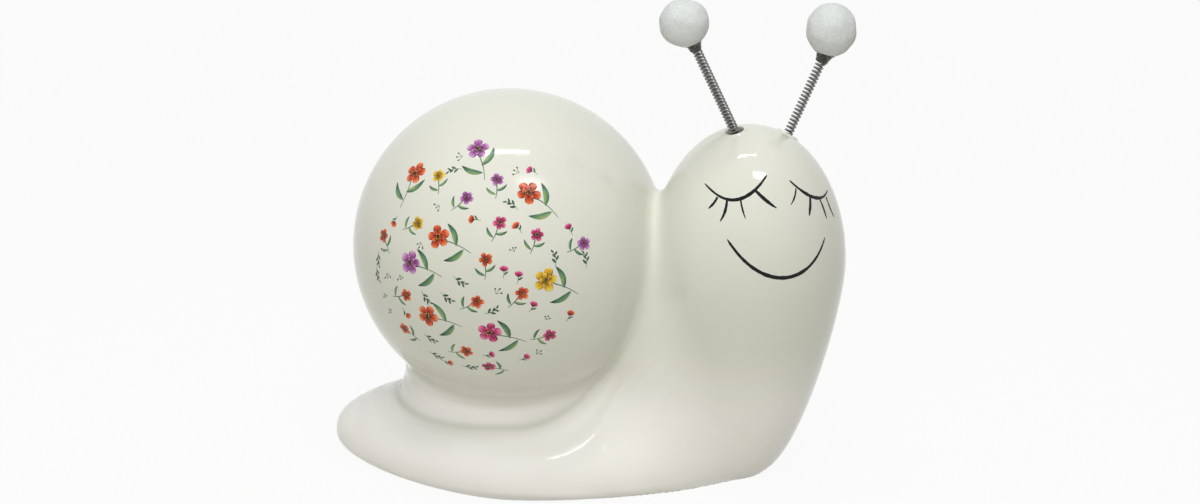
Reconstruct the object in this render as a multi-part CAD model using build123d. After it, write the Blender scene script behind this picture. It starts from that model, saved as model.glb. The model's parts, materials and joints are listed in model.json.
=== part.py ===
"""A hollow ceramic snail with two sprung antennae, a painted face and a floral print.

All sizes are millimetres. The origin is the centre of the foot on the surface it rests on.
+X points to the head, +Y to the far side and +Z up. Left and right are the snail's own.
"""
from build123d import *
from math import cos, pi, radians, sin, sqrt
import os

os.makedirs("parts", exist_ok=True)

# Shell, a ball
shell_radius = 56.9
shell_back = 4.5
shell_height = 81.4

# Foot, a pillow that tapers to the tail
tail_length = 70.5
toe_length = 80.0
foot_half_width = 46.8
foot_height = 27.0
foot_belt_height = 4.2
foot_tuck = 5.0
foot_crown_power = 2.3
tail_handle_share = 0.41
toe_handle_share = 0.44

# Skirt that carries the shell on the foot
skirt_half_length = 41.7
skirt_half_width = 31.5
skirt_level = 22.0
skirt_bottom = 4.0
skirt_top = 45.0
skirt_draft_share = 0.35

# Neck and head, turned about one upright axis
neck_forward = 82.0
head_radius = 35.1
head_level = 81.0
crown_height = 131.1
neck_swell_share = 0.78
neck_waist_share = 0.57
neck_base_share = 0.19

# Saddle and nape, the fillings between shell, foot and neck
saddle_forward = 31.0
saddle_level = 10.0
saddle_half_length = 42.0
saddle_radius = 28.0
nape_forward = 56.0
nape_level = 44.0
nape_radius = 27.0
nape_half_height = 55.5

# Casting wall and the openings in it
wall = 4.0
floor_thickness = 4.0
vent_radius = 6.0
vent_back = 20.0
antenna_hole_radius = 3.0

# Face direction, turned from the near side towards the front
face_turn = 27.0

# Antenna wire, wound into a close spring
wire_diameter = 0.66
spring_diameter = 3.3
spring_pitch = 1.35
spring_tail_rise = 1.5
spring_clearance = 0.15
spring_end_gap = 0.1

# Each antenna's hole on the crown, its lean from upright and its reach to the ball's centre
left_hole_side = 14.6
left_hole_forward = -1.5
left_lean = 24.5
left_reach = 40.3
right_hole_side = -6.4
right_hole_forward = 0.4
right_lean = 26.0
right_reach = 45.8

# Balls and glue
ball_radius = 8.9
left_ball_half_height = 9.2
right_ball_half_height = 8.4
ball_bore_depth = 5.0
collar_length = 3.0
collar_top_radius = 3.2
collar_bottom_radius = 2.3
glue_clearance = 0.05
plug_depth = 6.5
plug_floor = 1.2
plug_proud = 0.25

# Painted lines and the print, as thin skins on the glaze
paint_gap = 0.05
paint_thickness = 0.15
lid_outer = 6.7
lid_inner = 13.0
lid_rise = 7.8
lid_line = 0.85
lid_end_line = 0.4
lash_length = 6.4
lash_root = 0.7
lash_tip = 0.3
smile_width = 36.0
smile_line = 1.1
smile_end_line = 0.5
smile_depth = 11.7
smile_bend_share = 0.68
right_eye_side = -14.9
right_eye_level = 113.1
left_eye_side = 19.2
left_eye_level = 109.9
smile_side = -0.5
smile_level = 98.5
smile_tip = 1.3
face_reach = 60.0

# Each lash: its place on the lid, its turn towards the nose from straight down, its length
right_lash_shares = ((-0.35, -0.43, 0.8), (-0.16, -0.26, 1.2), (0.16, 0.02, 0.83), (0.58, 0.52, 1.2))
left_lash_shares = ((0.93, 0.5, 0.78), (0.53, 0.23, 0.9), (0.19, -0.17, 0.97), (-0.08, -0.23, 1.1))

# Print on the shell's near side
print_turn = -5.0
print_rise = 12.0
print_radius = 43.0
print_count = 24
blossom_radius = 4.4
small_blossom_radius = 2.6
stem_length = 9.0
stem_width = 0.5
large_leaf_length = 8.5
large_leaf_bend = 2.3
small_leaf_length = 4.4
small_leaf_bend = 1.5
petal_count = 5
petal_notch_share = 0.42
petal_swell_share = 1.41
petal_spread_share = 0.83
print_tilt = 80.0
print_tilt_step = 2.0
print_prism_share = 0.05
large_leaf_turns = (48.0, 142.0)
small_leaf_turns = (35.0, 145.0)

overrun = 10.0
turn_steps = 4
quarter_share = 4 / 3 * (sqrt(2) - 1)

shell_centre = Vector(-shell_back, 0, shell_height)
neck_axis = Vector(neck_forward, 0, 0)
face_out = Vector(sin(radians(face_turn)), -cos(radians(face_turn)), 0)
face_side = Vector(cos(radians(face_turn)), sin(radians(face_turn)), 0)


def quarter_curve(radius, level, height):
    """A quarter of an ellipse as one cubic curve, from its side up (or down) to its pole."""
    return Bezier(
        (radius, level),
        (radius, level + height * quarter_share),
        (radius * quarter_share, level + height),
        (0, level + height),
    )


def turned(curves):
    """A solid turned about the Z axis from a closed outline in the XZ plane."""
    return revolve(Plane.XZ * make_face(Curve() + curves), Axis.Z, 360)


def spheroid(radius, level, half_height):
    """A solid ellipsoid of revolution about the Z axis, with its middle at a level."""
    rise = quarter_curve(radius, level, half_height)
    fall = quarter_curve(radius, level, -half_height)
    return turned([rise, fall, Line((0, level - half_height), (0, level + half_height))])


def foot_outline(level, tail, toe, half_width):
    """The foot's outline at one height, in four curves."""
    rear_tail = (-tail, tail_handle_share)
    front_toe = (toe, toe_handle_share)
    edges = []
    for end, share in (rear_tail, front_toe):
        for side in (half_width, -half_width):
            edges.append(
                Bezier(
                    (end, 0, level),
                    (end, side * share, level),
                    (end * share, side, level),
                    (0, side, level),
                )
            )
    return Wire(edges)


def foot_solid(inset, floor_level):
    """The foot as a loft of level outlines: tucked in at the base, domed above its belt.

    The cavity's foot has no tuck, and starts at its widest on the floor.
    """
    tail = tail_length - inset
    toe = toe_length - inset
    half_width = foot_half_width - inset
    top = foot_height - inset
    tucked = floor_level == 0
    belt = foot_belt_height if tucked else floor_level
    sections = []
    for step in range(turn_steps if tucked else 0):
        angle = pi / 2 * step / turn_steps
        level = belt * (1 - cos(angle))
        tuck = foot_tuck * (1 - sin(angle))
        sections.append(foot_outline(level, tail - tuck, toe - tuck, half_width - tuck))
    for step in range(2 * turn_steps):
        angle = pi / 2 * step / (2 * turn_steps)
        shrink = cos(angle) ** (2 / foot_crown_power)
        rise = sin(angle) ** (2 / foot_crown_power)
        level = belt + (top - belt) * rise
        sections.append(foot_outline(level, tail * shrink, toe * shrink, half_width * shrink))
    return loft([Face(outline) for outline in sections])


def skirt_solid(inset, floor_level):
    """The tapered oval cone between the foot and the shell."""
    rings = []
    for level in (max(skirt_bottom, floor_level), skirt_top):
        grow = skirt_draft_share * (skirt_level - level) - inset
        ring = Ellipse(skirt_half_length + grow, skirt_half_width + grow)
        rings.append(Pos(-shell_back, 0, level) * ring)
    return loft(rings, ruled=True)


def head_curves(grow):
    """The outline of neck and head from the base centre round to the crown, in the XZ plane."""
    radius = head_radius + grow
    crown = quarter_curve(radius, head_level, crown_height + grow - head_level)
    side = Bezier(
        (radius, head_level),
        (radius, head_level * neck_swell_share),
        (head_radius * neck_waist_share + grow, 0),
        (head_radius * neck_base_share + grow, 0),
    )
    base = Line((head_radius * neck_base_share + grow, 0), (0, 0))
    middle = Line((0, 0), (0, crown_height + grow))
    return [crown, side, base, middle]


def head_solid(grow):
    """Neck and head, turned about the upright axis."""
    return Pos(*neck_axis) * turned(head_curves(grow))


def shell_solid(grow):
    """The shell's ball."""
    return Pos(*shell_centre) * Sphere(shell_radius + grow)


def above(solid, level):
    """What is left of a solid above a level."""
    length = tail_length + toe_length + 2 * neck_forward
    base = Align.CENTER, Align.CENTER, Align.MAX
    return solid - Pos(0, 0, level) * Box(length, length, length, align=base)


def body_form(inset, floor_level):
    """Shell, foot, skirt, neck and fillings in one form that stands on a level floor."""
    lying = spheroid(saddle_radius - inset, 0, saddle_half_length - inset)
    saddle = Pos(saddle_forward, 0, saddle_level) * Rot(0, 90, 0) * lying
    nape = Pos(nape_forward, 0, 0) * spheroid(
        nape_radius - inset, nape_level, nape_half_height - inset
    )
    form = foot_solid(inset, floor_level) + skirt_solid(inset, floor_level)
    form = form + above(saddle, floor_level)
    form = form + above(head_solid(-inset), floor_level)
    form = form + above(nape, floor_level)
    return form + shell_solid(-inset)


def crown_point(side, forward):
    """The point on the head's surface above a place given along and across the face."""
    rise = sqrt(1 - (side**2 + forward**2) / head_radius**2)
    level = head_level + (crown_height - head_level) * rise
    return neck_axis + face_side * side + face_out * forward + Vector(0, 0, level)


def antenna_plane(side, forward, lean, outward):
    """A plane at an antenna's hole: z along the antenna, x outwards."""
    out = face_side * outward
    along = out * sin(radians(lean)) + Vector(0, 0, cos(radians(lean)))
    across = out * cos(radians(lean)) - Vector(0, 0, sin(radians(lean)))
    return Plane(origin=crown_point(side, forward), x_dir=across, z_dir=along)


def upright_tube(radius, low, high):
    """A cylinder about the local Z axis between two heights."""
    base = Align.CENTER, Align.CENTER, Align.MIN
    return Pos(0, 0, low) * Cylinder(radius, high - low, align=base)


def snail_casting(planes):
    """The hollow casting with its vent and the two antenna holes."""
    casting = body_form(0, 0) - body_form(wall, floor_thickness)
    casting = casting - Pos(-vent_back, 0, 0) * upright_tube(
        vent_radius, -overrun, floor_thickness + overrun
    )
    for plane in planes:
        casting = casting - plane.location * upright_tube(antenna_hole_radius, -overrun, overrun)
    return casting


def biarc(start, start_way, end, end_way):
    """Two tangent arcs that join two points, each with its direction."""
    gap = end - start
    ways = start_way + end_way
    spread = 2 * (1 - start_way.dot(end_way))
    reach = (-gap.dot(ways) + sqrt(gap.dot(ways) ** 2 + spread * gap.dot(gap))) / spread
    middle = (start + end + (start_way - end_way) * reach) / 2
    middle_way = (end - middle - end_way * reach).normalized()
    return [
        TangentArc(start, middle, tangent=start_way),
        TangentArc(middle, end, tangent=middle_way),
    ]


def on_coil(step, level):
    """The point at a level on the spring's middle line, after some steps of a turn."""
    middle_radius = (spring_diameter - wire_diameter) / 2
    angle = 2 * pi * step / turn_steps
    return Vector(middle_radius * cos(angle), middle_radius * sin(angle), level)


def spring_route(length):
    """Points and directions of the spring wire, from its lower stub to its upper one."""
    low = wire_diameter + spring_tail_rise
    high = length - low
    steps = round(turn_steps * (high - low) / spring_pitch)
    climb = (high - low) / steps
    slope = climb / (2 * pi / turn_steps)
    up = Vector(0, 0, 1)
    route = [(on_coil(-1, 0), up), (on_coil(-1, wire_diameter), up)]
    for step in range(steps + 1):
        place = on_coil(step, low + climb * step)
        way = Vector(-place.Y, place.X, slope).normalized()
        route.append((place, way))
    route.append((on_coil(steps + 1, length - wire_diameter), up))
    route.append((on_coil(steps + 1, length), up))
    return route


def least_gap(path):
    """The least gap of the wound wire to itself, over half a turn apart, measured on points."""
    spots_per_turn = 4 * turn_steps
    turn_length = pi * (spring_diameter - wire_diameter)
    count = round(spots_per_turn * path.length / turn_length)
    spots = [path @ (index / count) for index in range(count + 1)]
    apart = spots_per_turn // 2
    near = 2 * spots_per_turn
    return min(
        (spots[index] - other).length - wire_diameter
        for index in range(count + 1)
        for other in spots[index + apart : index + near]
    )


def spring_solid(length):
    """One unbroken wire: a straight stub, the close turns and a second stub."""
    route = spring_route(length)
    edges = [Line(route[0][0], route[1][0])]
    for (start, start_way), (end, end_way) in zip(route[1:-2], route[2:-1]):
        edges += biarc(start, start_way, end, end_way)
    edges.append(Line(route[-2][0], route[-1][0]))
    path = Wire(edges)
    tightest = min(edge.radius for edge in path.edges() if edge.geom_type == GeomType.CIRCLE)
    turns = (len(route) - 5) / turn_steps
    print(f"spring: {turns} turns, gap {least_gap(path):.2f} mm, tightest {tightest:.2f} mm")
    return sweep(Pos(*route[0][0]) * Circle(wire_diameter / 2), path=path)


def ball_solid(reach, half_height, bore_radius, seat):
    """A soft ball on the local Z axis, with a blind hole up to its seat."""
    ball = spheroid(ball_radius, reach, half_height)
    return ball - upright_tube(bore_radius, reach - half_height - overrun, seat)


def collar_solid(reach, half_height, bore_radius):
    """The tapered glue collar under a ball, hollowed for the spring and to the ball's curve."""
    low = reach - half_height - collar_length
    flare_share = (collar_top_radius - collar_bottom_radius) / collar_length
    outline = Polyline(
        (bore_radius, low),
        (collar_bottom_radius, low),
        (collar_bottom_radius + flare_share * (reach - low), reach),
        (bore_radius, reach),
        close=True,
    )
    ball = spheroid(ball_radius + glue_clearance, reach, half_height + glue_clearance)
    return turned([outline]) - ball


def antenna_parts(side_name, plane, reach, half_height):
    """Spring, ball, socket glue and ball glue of one antenna, by node name."""
    bore_radius = spring_diameter / 2 + spring_clearance
    seat = plug_floor - plug_depth
    ball_seat = reach - half_height + ball_bore_depth
    spring_low = seat + spring_end_gap
    spring = Pos(0, 0, spring_low) * spring_solid(ball_seat - spring_end_gap - spring_low)
    plug_radius = antenna_hole_radius - glue_clearance
    plug = upright_tube(plug_radius, -plug_depth, plug_proud) - upright_tube(
        bore_radius, seat, plug_proud + overrun
    )
    shapes = {
        "antenna_spring": spring,
        "ball": ball_solid(reach, half_height, bore_radius, ball_seat),
        "socket_glue": plug,
        "ball_glue": collar_solid(reach, half_height, bore_radius),
    }
    return {f"{side_name}_{name}": plane.location * shape for name, shape in shapes.items()}


def skin_of(solid_at):
    """A thin skin just off a glazed surface, from the function that makes its solid."""
    return solid_at(paint_gap + paint_thickness) - solid_at(paint_gap)


def stroke(controls, widths):
    """A brush stroke: a band along a cubic curve, with a width at each control point."""
    sides = []
    for hand in (1, -1):
        points = []
        for index, (across, up) in enumerate(controls):
            before = controls[max(index - 1, 0)]
            after = controls[min(index + 1, len(controls) - 1)]
            run = Vector(after[0] - before[0], after[1] - before[1]).normalized()
            half = hand * widths[index] / 2
            points.append((across - run.Y * half, up + run.X * half))
        sides.append(points)
    left, right = sides
    edges = [
        Bezier(*left),
        Line(left[-1], right[-1]),
        Bezier(*right),
        Line(right[0], left[0]),
    ]
    return make_face(Curve() + edges)


def lid_stroke(side, level, nose):
    """A closed eyelid: part of a parabola that rises further towards the nose."""
    curl = lid_rise / lid_inner**2
    outer = Vector(-lid_outer, curl * lid_outer**2)
    inner = Vector(lid_inner, lid_rise)
    corner = Vector((lid_inner - lid_outer) / 2, -curl * lid_inner * lid_outer)
    points = [outer, (outer + corner * 2) / 3, (inner + corner * 2) / 3, inner]
    controls = [(side + nose * point.X, level + point.Y) for point in points]
    return stroke(controls, (lid_end_line, lid_line, lid_line, lid_end_line))


def lash_strokes(side, level, nose, lash_shares):
    """The lashes of one eye, each from the lid downwards, narrowing to its tip."""
    curl = lid_rise / lid_inner**2
    strokes = []
    for place_share, turn_share, length_share in lash_shares:
        across = lid_inner * place_share
        root = Vector(side + nose * across, level + curl * across**2 - lid_line)
        turn = pi / 2 * turn_share
        run = Vector(nose * sin(turn), -cos(turn)) * lash_length * length_share
        controls = []
        widths = []
        for share in (0, 1 / 3, 2 / 3, 1):
            point = root + run * share
            controls.append((point.X, point.Y))
            widths.append(lash_root + (lash_tip - lash_root) * share)
        strokes.append(stroke(controls, widths))
    return strokes


def smile_stroke():
    """The smile: a full curve, widest in its middle."""
    half = smile_width / 2
    bend = half * smile_bend_share
    low = smile_level - smile_depth * 4 / 3
    controls = [
        (smile_side - half, smile_level + smile_tip),
        (smile_side - bend, low),
        (smile_side + bend, low),
        (smile_side + half, smile_level - smile_tip),
    ]
    return stroke(controls, (smile_end_line, smile_line, smile_line, smile_end_line))


def face_parts():
    """Eyelids, lashes and smile by node name, each laid on the glaze of the head."""
    plane = Plane(origin=neck_axis, x_dir=face_side, z_dir=face_out)
    skin = skin_of(head_solid)
    drawings = {
        "right_eyelid": [lid_stroke(right_eye_side, right_eye_level, 1)],
        "left_eyelid": [lid_stroke(left_eye_side, left_eye_level, -1)],
        "right_lashes": lash_strokes(right_eye_side, right_eye_level, 1, right_lash_shares),
        "left_lashes": lash_strokes(left_eye_side, left_eye_level, -1, left_lash_shares),
        "smile": [smile_stroke()],
    }
    parts = {}
    for name, faces in drawings.items():
        prisms = [extrude(plane * face, amount=face_reach, dir=face_out) for face in faces]
        parts[name] = skin & (Part() + prisms)
    return parts


def blossom(radius):
    """One outline of equal round petals about the origin."""
    half_turn = pi / petal_count
    petals = []
    for index in range(petal_count):
        middle = 2 * half_turn * index
        points = []
        for reach_share, turn_share in (
            (petal_notch_share, -1),
            (petal_swell_share, -petal_spread_share),
            (petal_swell_share, petal_spread_share),
            (petal_notch_share, 1),
        ):
            turn = middle + half_turn * turn_share
            points.append((radius * reach_share * cos(turn), radius * reach_share * sin(turn)))
        petals.append(Bezier(*points))
    return make_face(Curve() + petals)


def leaf(length, bend):
    """One pointed leaf along X, with a straight edge and a bowed one."""
    edge = Bezier((0, 0), (length / 3, bend), (length * 2 / 3, bend), (length, 0))
    return make_face(Curve() + [edge, Line((length, 0), (0, 0))])


def sprig(length, leaf_turns, leaf_length, leaf_bend):
    """A stem down from the origin with leaves along it, each bowed away from the stem's top."""
    shapes = [Pos(0, -length / 2) * Rectangle(stem_width, length)]
    for index, turn in enumerate(leaf_turns):
        base = -length * (index + 1) / (len(leaf_turns) + 1)
        bend = leaf_bend if turn > 90 else -leaf_bend
        shapes.append(Pos(0, base) * Rot(0, 0, turn) * leaf(leaf_length, bend))
    return Sketch() + shapes


def print_plane(index):
    """The tangent plane on the shell for one motif of the print, on a sunflower spiral."""
    reach = print_radius * sqrt((index + 0.5) / print_count)
    turn = index * pi * (3 - sqrt(5))
    swing = radians(print_turn) + reach * cos(turn) / shell_radius
    rise = radians(print_rise) + reach * sin(turn) / shell_radius
    out = Vector(sin(swing) * cos(rise), -cos(swing) * cos(rise), sin(rise))
    place = shell_centre + out * shell_radius
    level = Vector(0, 0, 1).cross(out).normalized()
    tilt = print_tilt * sin(index * print_tilt_step)
    return Plane(origin=place, x_dir=level, z_dir=out).rotated((0, 0, tilt))


def print_parts():
    """The floral print by node name, one node to a colour, laid on the glaze of the shell."""
    colours = ("print_red", "print_mauve", "print_red", "print_pink", "print_yellow")
    layers = {name: [] for name in (*colours, "print_leaves")}
    reach = shell_radius * print_prism_share
    for index in range(print_count):
        location = print_plane(index).location
        large = index % 3 == 1
        if large:
            head = Pos(0, stem_length / 2) * blossom(blossom_radius)
            stem_top = stem_length / 2 - blossom_radius
            green = Pos(0, stem_top) * sprig(
                stem_length, large_leaf_turns, large_leaf_length, large_leaf_bend
            )
        else:
            head = Pos(0, small_blossom_radius) * blossom(small_blossom_radius)
            green = sprig(
                stem_length / 2, small_leaf_turns, small_leaf_length, small_leaf_bend
            )
        colour = colours[(index // 3 if large else index) % len(colours)]
        for name, drawing in ((colour, head), ("print_leaves", green)):
            layers[name].append(location * extrude(drawing, amount=reach, both=True))
    skin = skin_of(shell_solid)
    return {name: skin & (Part() + prisms) for name, prisms in layers.items()}


def main():
    left_plane = antenna_plane(left_hole_side, left_hole_forward, left_lean, 1)
    right_plane = antenna_plane(right_hole_side, right_hole_forward, right_lean, -1)
    parts = {"ceramic_snail": snail_casting((left_plane, right_plane))}
    parts.update(
        antenna_parts("left", left_plane, left_reach, left_ball_half_height)
    )
    parts.update(
        antenna_parts("right", right_plane, right_reach, right_ball_half_height)
    )
    parts.update(face_parts())
    parts.update(print_parts())
    for name, shape in parts.items():
        export_step(shape, f"parts/{name}.step")


if __name__ == "__main__":
    main()
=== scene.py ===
"""Dresses the packed snail: glazed body, painted face, floral transfer and sprung antennae.

All lengths are metres, in the packed part's own frame: +X points to the head, +Z is up and
the face looks to the near side, -Y. Left and right are the snail's own.
"""

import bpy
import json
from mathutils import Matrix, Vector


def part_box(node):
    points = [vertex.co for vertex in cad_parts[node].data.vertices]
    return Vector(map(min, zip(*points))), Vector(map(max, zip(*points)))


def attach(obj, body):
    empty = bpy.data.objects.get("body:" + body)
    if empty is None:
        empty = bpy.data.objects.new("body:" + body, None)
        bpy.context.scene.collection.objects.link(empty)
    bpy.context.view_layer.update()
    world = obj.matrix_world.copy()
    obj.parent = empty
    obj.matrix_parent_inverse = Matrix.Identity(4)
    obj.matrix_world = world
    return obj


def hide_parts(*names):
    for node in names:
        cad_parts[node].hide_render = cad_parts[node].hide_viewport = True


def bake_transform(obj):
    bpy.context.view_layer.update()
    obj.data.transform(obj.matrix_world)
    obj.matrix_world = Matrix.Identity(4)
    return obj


bl_info = {
    "name": "Snail Ornament",
    "version": (1, 0, 0),
    "blender": (4, 5, 0),
    "location": "3D View > Sidebar > Snail",
    "description": "Dresses the packed snail with glaze, painted lines, a transfer and springs",
    "category": "Object",
}

import json
import math
import random

import bmesh
import bpy
import numpy as np
from bpy.props import FloatProperty, FloatVectorProperty, IntProperty, PointerProperty
from bpy.types import Operator, Panel, PropertyGroup
from mathutils import Matrix, Vector, noise

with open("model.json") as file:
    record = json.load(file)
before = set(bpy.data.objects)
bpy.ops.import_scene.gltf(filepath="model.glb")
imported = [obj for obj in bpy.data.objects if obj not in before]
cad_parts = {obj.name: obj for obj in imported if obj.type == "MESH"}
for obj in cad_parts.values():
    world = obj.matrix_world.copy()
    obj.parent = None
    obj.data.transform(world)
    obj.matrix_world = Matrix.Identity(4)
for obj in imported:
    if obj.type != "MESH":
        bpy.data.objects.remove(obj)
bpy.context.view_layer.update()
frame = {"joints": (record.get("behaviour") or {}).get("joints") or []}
casting_low, casting_high = (np.array(corner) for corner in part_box("ceramic_snail"))

BODY = "ceramic_body"
HANDS = ("left", "right")
TINY = 1e-6
GOLDEN_TURN = math.pi * (3 - math.sqrt(5))

# Fineness of the meshes: points round each section, and along each line
RIBBON_SIDES = 12
WIRE_SIDES = 10
WIRE_STEPS_PER_TURN = 24
BALL_SIDES = 56
BALL_RINGS = 36
GLUE_SIDES = 28
NECK_STEPS = 200
LINE_STEPS = 40
PETAL_STEPS = 14
LEAF_STEPS = 18
BEAD_STEPS = 6
SPECK_STEPS = 10

# Reach in metres of the samples that give a form's slope
SLOPE_REACH = 1e-5

# How far round an antenna hole the mesh is made finer, in radii of the hole
HOLE_SURROUNDINGS = 3.5

WHITE = (1.0, 1.0, 1.0, 1.0)
BLACK = (0.0, 0.0, 0.0, 1.0)

# Where each antenna's two hinges stand on it, as shares of its free length
SWAY_SHARE = 1 / 6
NOD_SHARE = 0.6

# Face lines as (along the face, height), from the outer or upper end on
LIDS = {
    "right": ((-0.0218, 0.1162), (-0.0175, 0.1098), (-0.0105, 0.1130), (-0.0024, 0.1204)),
    "left": ((0.0228, 0.1108), (0.0175, 0.1084), (0.0112, 0.1123), (0.0055, 0.1181)),
}
# Lashes: root, tip, bow as a share of the length, and weight of the line
LASHES = {
    "right": (
        ((-0.0194, 0.1131), (-0.0226, 0.1090), 0.04, 0.8),
        ((-0.0169, 0.1126), (-0.0200, 0.1056), 0.06, 0.95),
        ((-0.0128, 0.1131), (-0.0122, 0.1072), -0.05, 0.8),
        ((-0.0078, 0.1164), (-0.0012, 0.1104), -0.05, 1.5),
    ),
    "left": (
        ((0.0208, 0.1095), (0.0236, 0.1022), -0.03, 0.8),
        ((0.0173, 0.1099), (0.0193, 0.1032), 0.03, 0.95),
        ((0.0129, 0.1119), (0.0112, 0.1062), 0.04, 1.5),
        ((0.0075, 0.1155), (0.0042, 0.1108), 0.1, 0.9),
    ),
}
# Balls: girth, top and bottom as shares of the radius, squareness, and offset along X
BALLS = {
    "left": (0.99, 1.12, 1.02, 2.0, -0.0014),
    "right": (0.96, 0.9, 0.93, 2.3, 0.0002),
}
SMILE = ((-0.0185, 0.1001), (-0.0096, 0.0827), (0.0096, 0.0829), (0.0174, 0.0976))

# Parts of a blossom, and the colour of each motif in turn, as on the packed part
PETALS = 5
STAMENS = 7
PRINT_ORDER = ("red", "mauve", "red", "pink", "yellow")

# Turns of the two leaves on a stem, in radians
LARGE_LEAF_TURNS = (0.84, 2.48)
SMALL_LEAF_TURNS = (0.61, 2.53)

# Fullness of a face line at its two ends, as shares of its width
LID_ENDS = (0.55, 0.55)
LASH_ENDS = (0.9, 0.35)
SMILE_ENDS = (0.6, 0.45)


def length(name, text, default):
    """A property that holds a length in metres."""
    return FloatProperty(name=name, description=text, default=default, unit="LENGTH", precision=4)


def share(name, text, default):
    """A property that holds a plain number."""
    return FloatProperty(name=name, description=text, default=default, precision=3)


def whole(name, text, default):
    """A property that holds a count."""
    return IntProperty(name=name, description=text, default=default)


def angle(name, text, degrees):
    """A property that holds an angle."""
    return FloatProperty(
        name=name, description=text, default=math.radians(degrees), subtype="ANGLE"
    )


def spread(name, text, default):
    """A property that holds a length and a width in metres."""
    return FloatVectorProperty(name=name, description=text, default=default, size=2, unit="LENGTH")


def direction(name, text, default):
    """A property that holds a direction."""
    return FloatVectorProperty(name=name, description=text, default=default, size=3, subtype="XYZ")


def colour(name, text, default):
    """A property that holds a colour."""
    return FloatVectorProperty(
        name=name, description=text, default=default, size=3, subtype="COLOR", min=0, max=1
    )


class SnailForm(PropertyGroup):
    """Sizes of the glazed body."""

    shell_radius: length("Shell radius", "Radius of the shell's ball", casting_high[1])
    shell_back: length("Shell setback", "How far the shell stands behind the foot's centre", 0.0045)
    shell_level: length(
        "Shell height", "Height of the shell's centre", casting_high[2] - casting_high[1]
    )
    tail_length: length("Tail length", "From the foot's centre to the tail", -casting_low[0])
    toe_length: length("Toe length", "From the foot's centre to its front", 0.08)
    foot_half_width: length("Foot half width", "Half of the foot's width", 0.0468)
    foot_height: length("Foot height", "Height of the foot's dome", 0.027)
    foot_belt: length("Foot belt", "Height of the foot's rounded lower edge", 0.0042)
    foot_crown: share("Foot crown", "How square the foot's dome is", 2.3)
    tail_power: share("Tail fullness", "How full the foot's outline is behind", 1.63)
    toe_power: share("Toe fullness", "How full the foot's outline is in front", 1.7)
    skirt_half_length: length("Skirt half length", "Half the skirt's length under the shell", 0.0417)
    skirt_half_width: length("Skirt half width", "Half the skirt's width under the shell", 0.0315)
    skirt_level: length("Skirt level", "Height at which the skirt has its stated size", 0.022)
    skirt_bottom: length("Skirt bottom", "Height of the skirt's lower edge", 0.002)
    skirt_top: length("Skirt top", "Height of the skirt's upper edge", 0.045)
    skirt_draft: share("Skirt draft", "How much the skirt widens downwards", 0.35)
    head_radius: length("Head radius", "Radius of the head where it is widest", 0.0351)
    head_level: length("Head level", "Height at which the head is widest", 0.081)
    crown_height: length("Crown height", "Height of the head's top", 0.1311)
    neck_swell: share("Neck swell", "Where the neck starts to narrow, as a share of height", 0.78)
    neck_waist: share("Neck waist", "How wide the neck stays, as a share of the head", 0.57)
    neck_base: share("Neck base", "How narrow the neck ends, as a share of the head", 0.19)
    saddle_forward: length("Saddle place", "The filling between foot and neck, along X", 0.031)
    saddle_level: length("Saddle level", "Height of that filling's centre", 0.01)
    saddle_half_length: length("Saddle half length", "Half length of that filling", 0.042)
    saddle_radius: length("Saddle radius", "Radius of that filling", 0.028)
    nape_forward: length("Nape place", "The filling between shell and neck, along X", 0.056)
    nape_level: length("Nape level", "Height of that filling's centre", 0.044)
    nape_radius: length("Nape radius", "Radius of that filling", 0.0265)
    nape_half_height: length("Nape half height", "Half height of that filling", 0.0555)
    foot_fill: length("Foot fillet", "Softness where the foot meets its filling", 0.012)
    skirt_fill: length("Skirt fillet", "Softness where the skirt meets the shell", 0.01)
    nape_fill: length("Nape fillet", "Softness where the neck meets its filling", 0.008)
    neck_fill: length("Neck fillet", "Softness where the neck meets the foot", 0.014)
    crease_fill: length("Crease fillet", "Softness of the crease under the shell", 0.0025)
    valley_fill: length("Valley fillet", "Softness of the valley behind the head", 0.006)
    seam_width: length("Seam width", "Half width of the darker line along the crease", 0.0012)
    valley_start: length("Valley start", "Height at which the crease starts to soften", 0.026)
    valley_end: length("Valley end", "Height at which it is at its softest", 0.046)
    vent_radius: length("Vent radius", "Radius of the vent hole in the base", 0.006)
    vent_back: length("Vent setback", "How far the vent is behind the foot's centre", 0.02)
    vent_depth: length("Vent depth", "How deep the vent hole shows", 0.016)
    hole_radius: length("Hole radius", "Radius of the antenna holes", 0.003)
    hole_depth: length("Hole depth", "How deep the antenna holes show", 0.0065)
    rim: length("Hole rim", "Thickness of the glaze bead round each hole", 0.0006)
    # Painted light: height up to which the glaze is painted lighter on the foot
    painted_light_top: length("White glaze", "Height up to which the glaze is whiter", 0.062)
    ripple_pitch: length("Ripple pitch", "Distance between the glaze ripples on the foot", 0.0065)
    ripple_count: share("Ripple count", "Number of ripples before they fade out", 3)
    ripple_ease: share("Ripple ease", "How late the ripples start to fade", 1.4)
    crazed_turn: angle("Crazing turn", "Direction of the crazed patch on the shell", 18.5)
    crazed_rise: angle("Crazing rise", "Rise of the crazed patch on the shell", 41)
    crazed_radius: length("Crazing radius", "Radius of the crazed patch", 0.008)
    bare_share: share("Bare share", "Unglazed part of the foot's lower edge", 0.25)
    facet: length("Facet", "Size of the body's mesh faces", 0.001)
    first_rounds: whole("First rounds", "Rounds that even out the whole mesh", 8)
    last_rounds: whole("Last rounds", "Rounds that even it out round the holes", 6)


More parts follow.
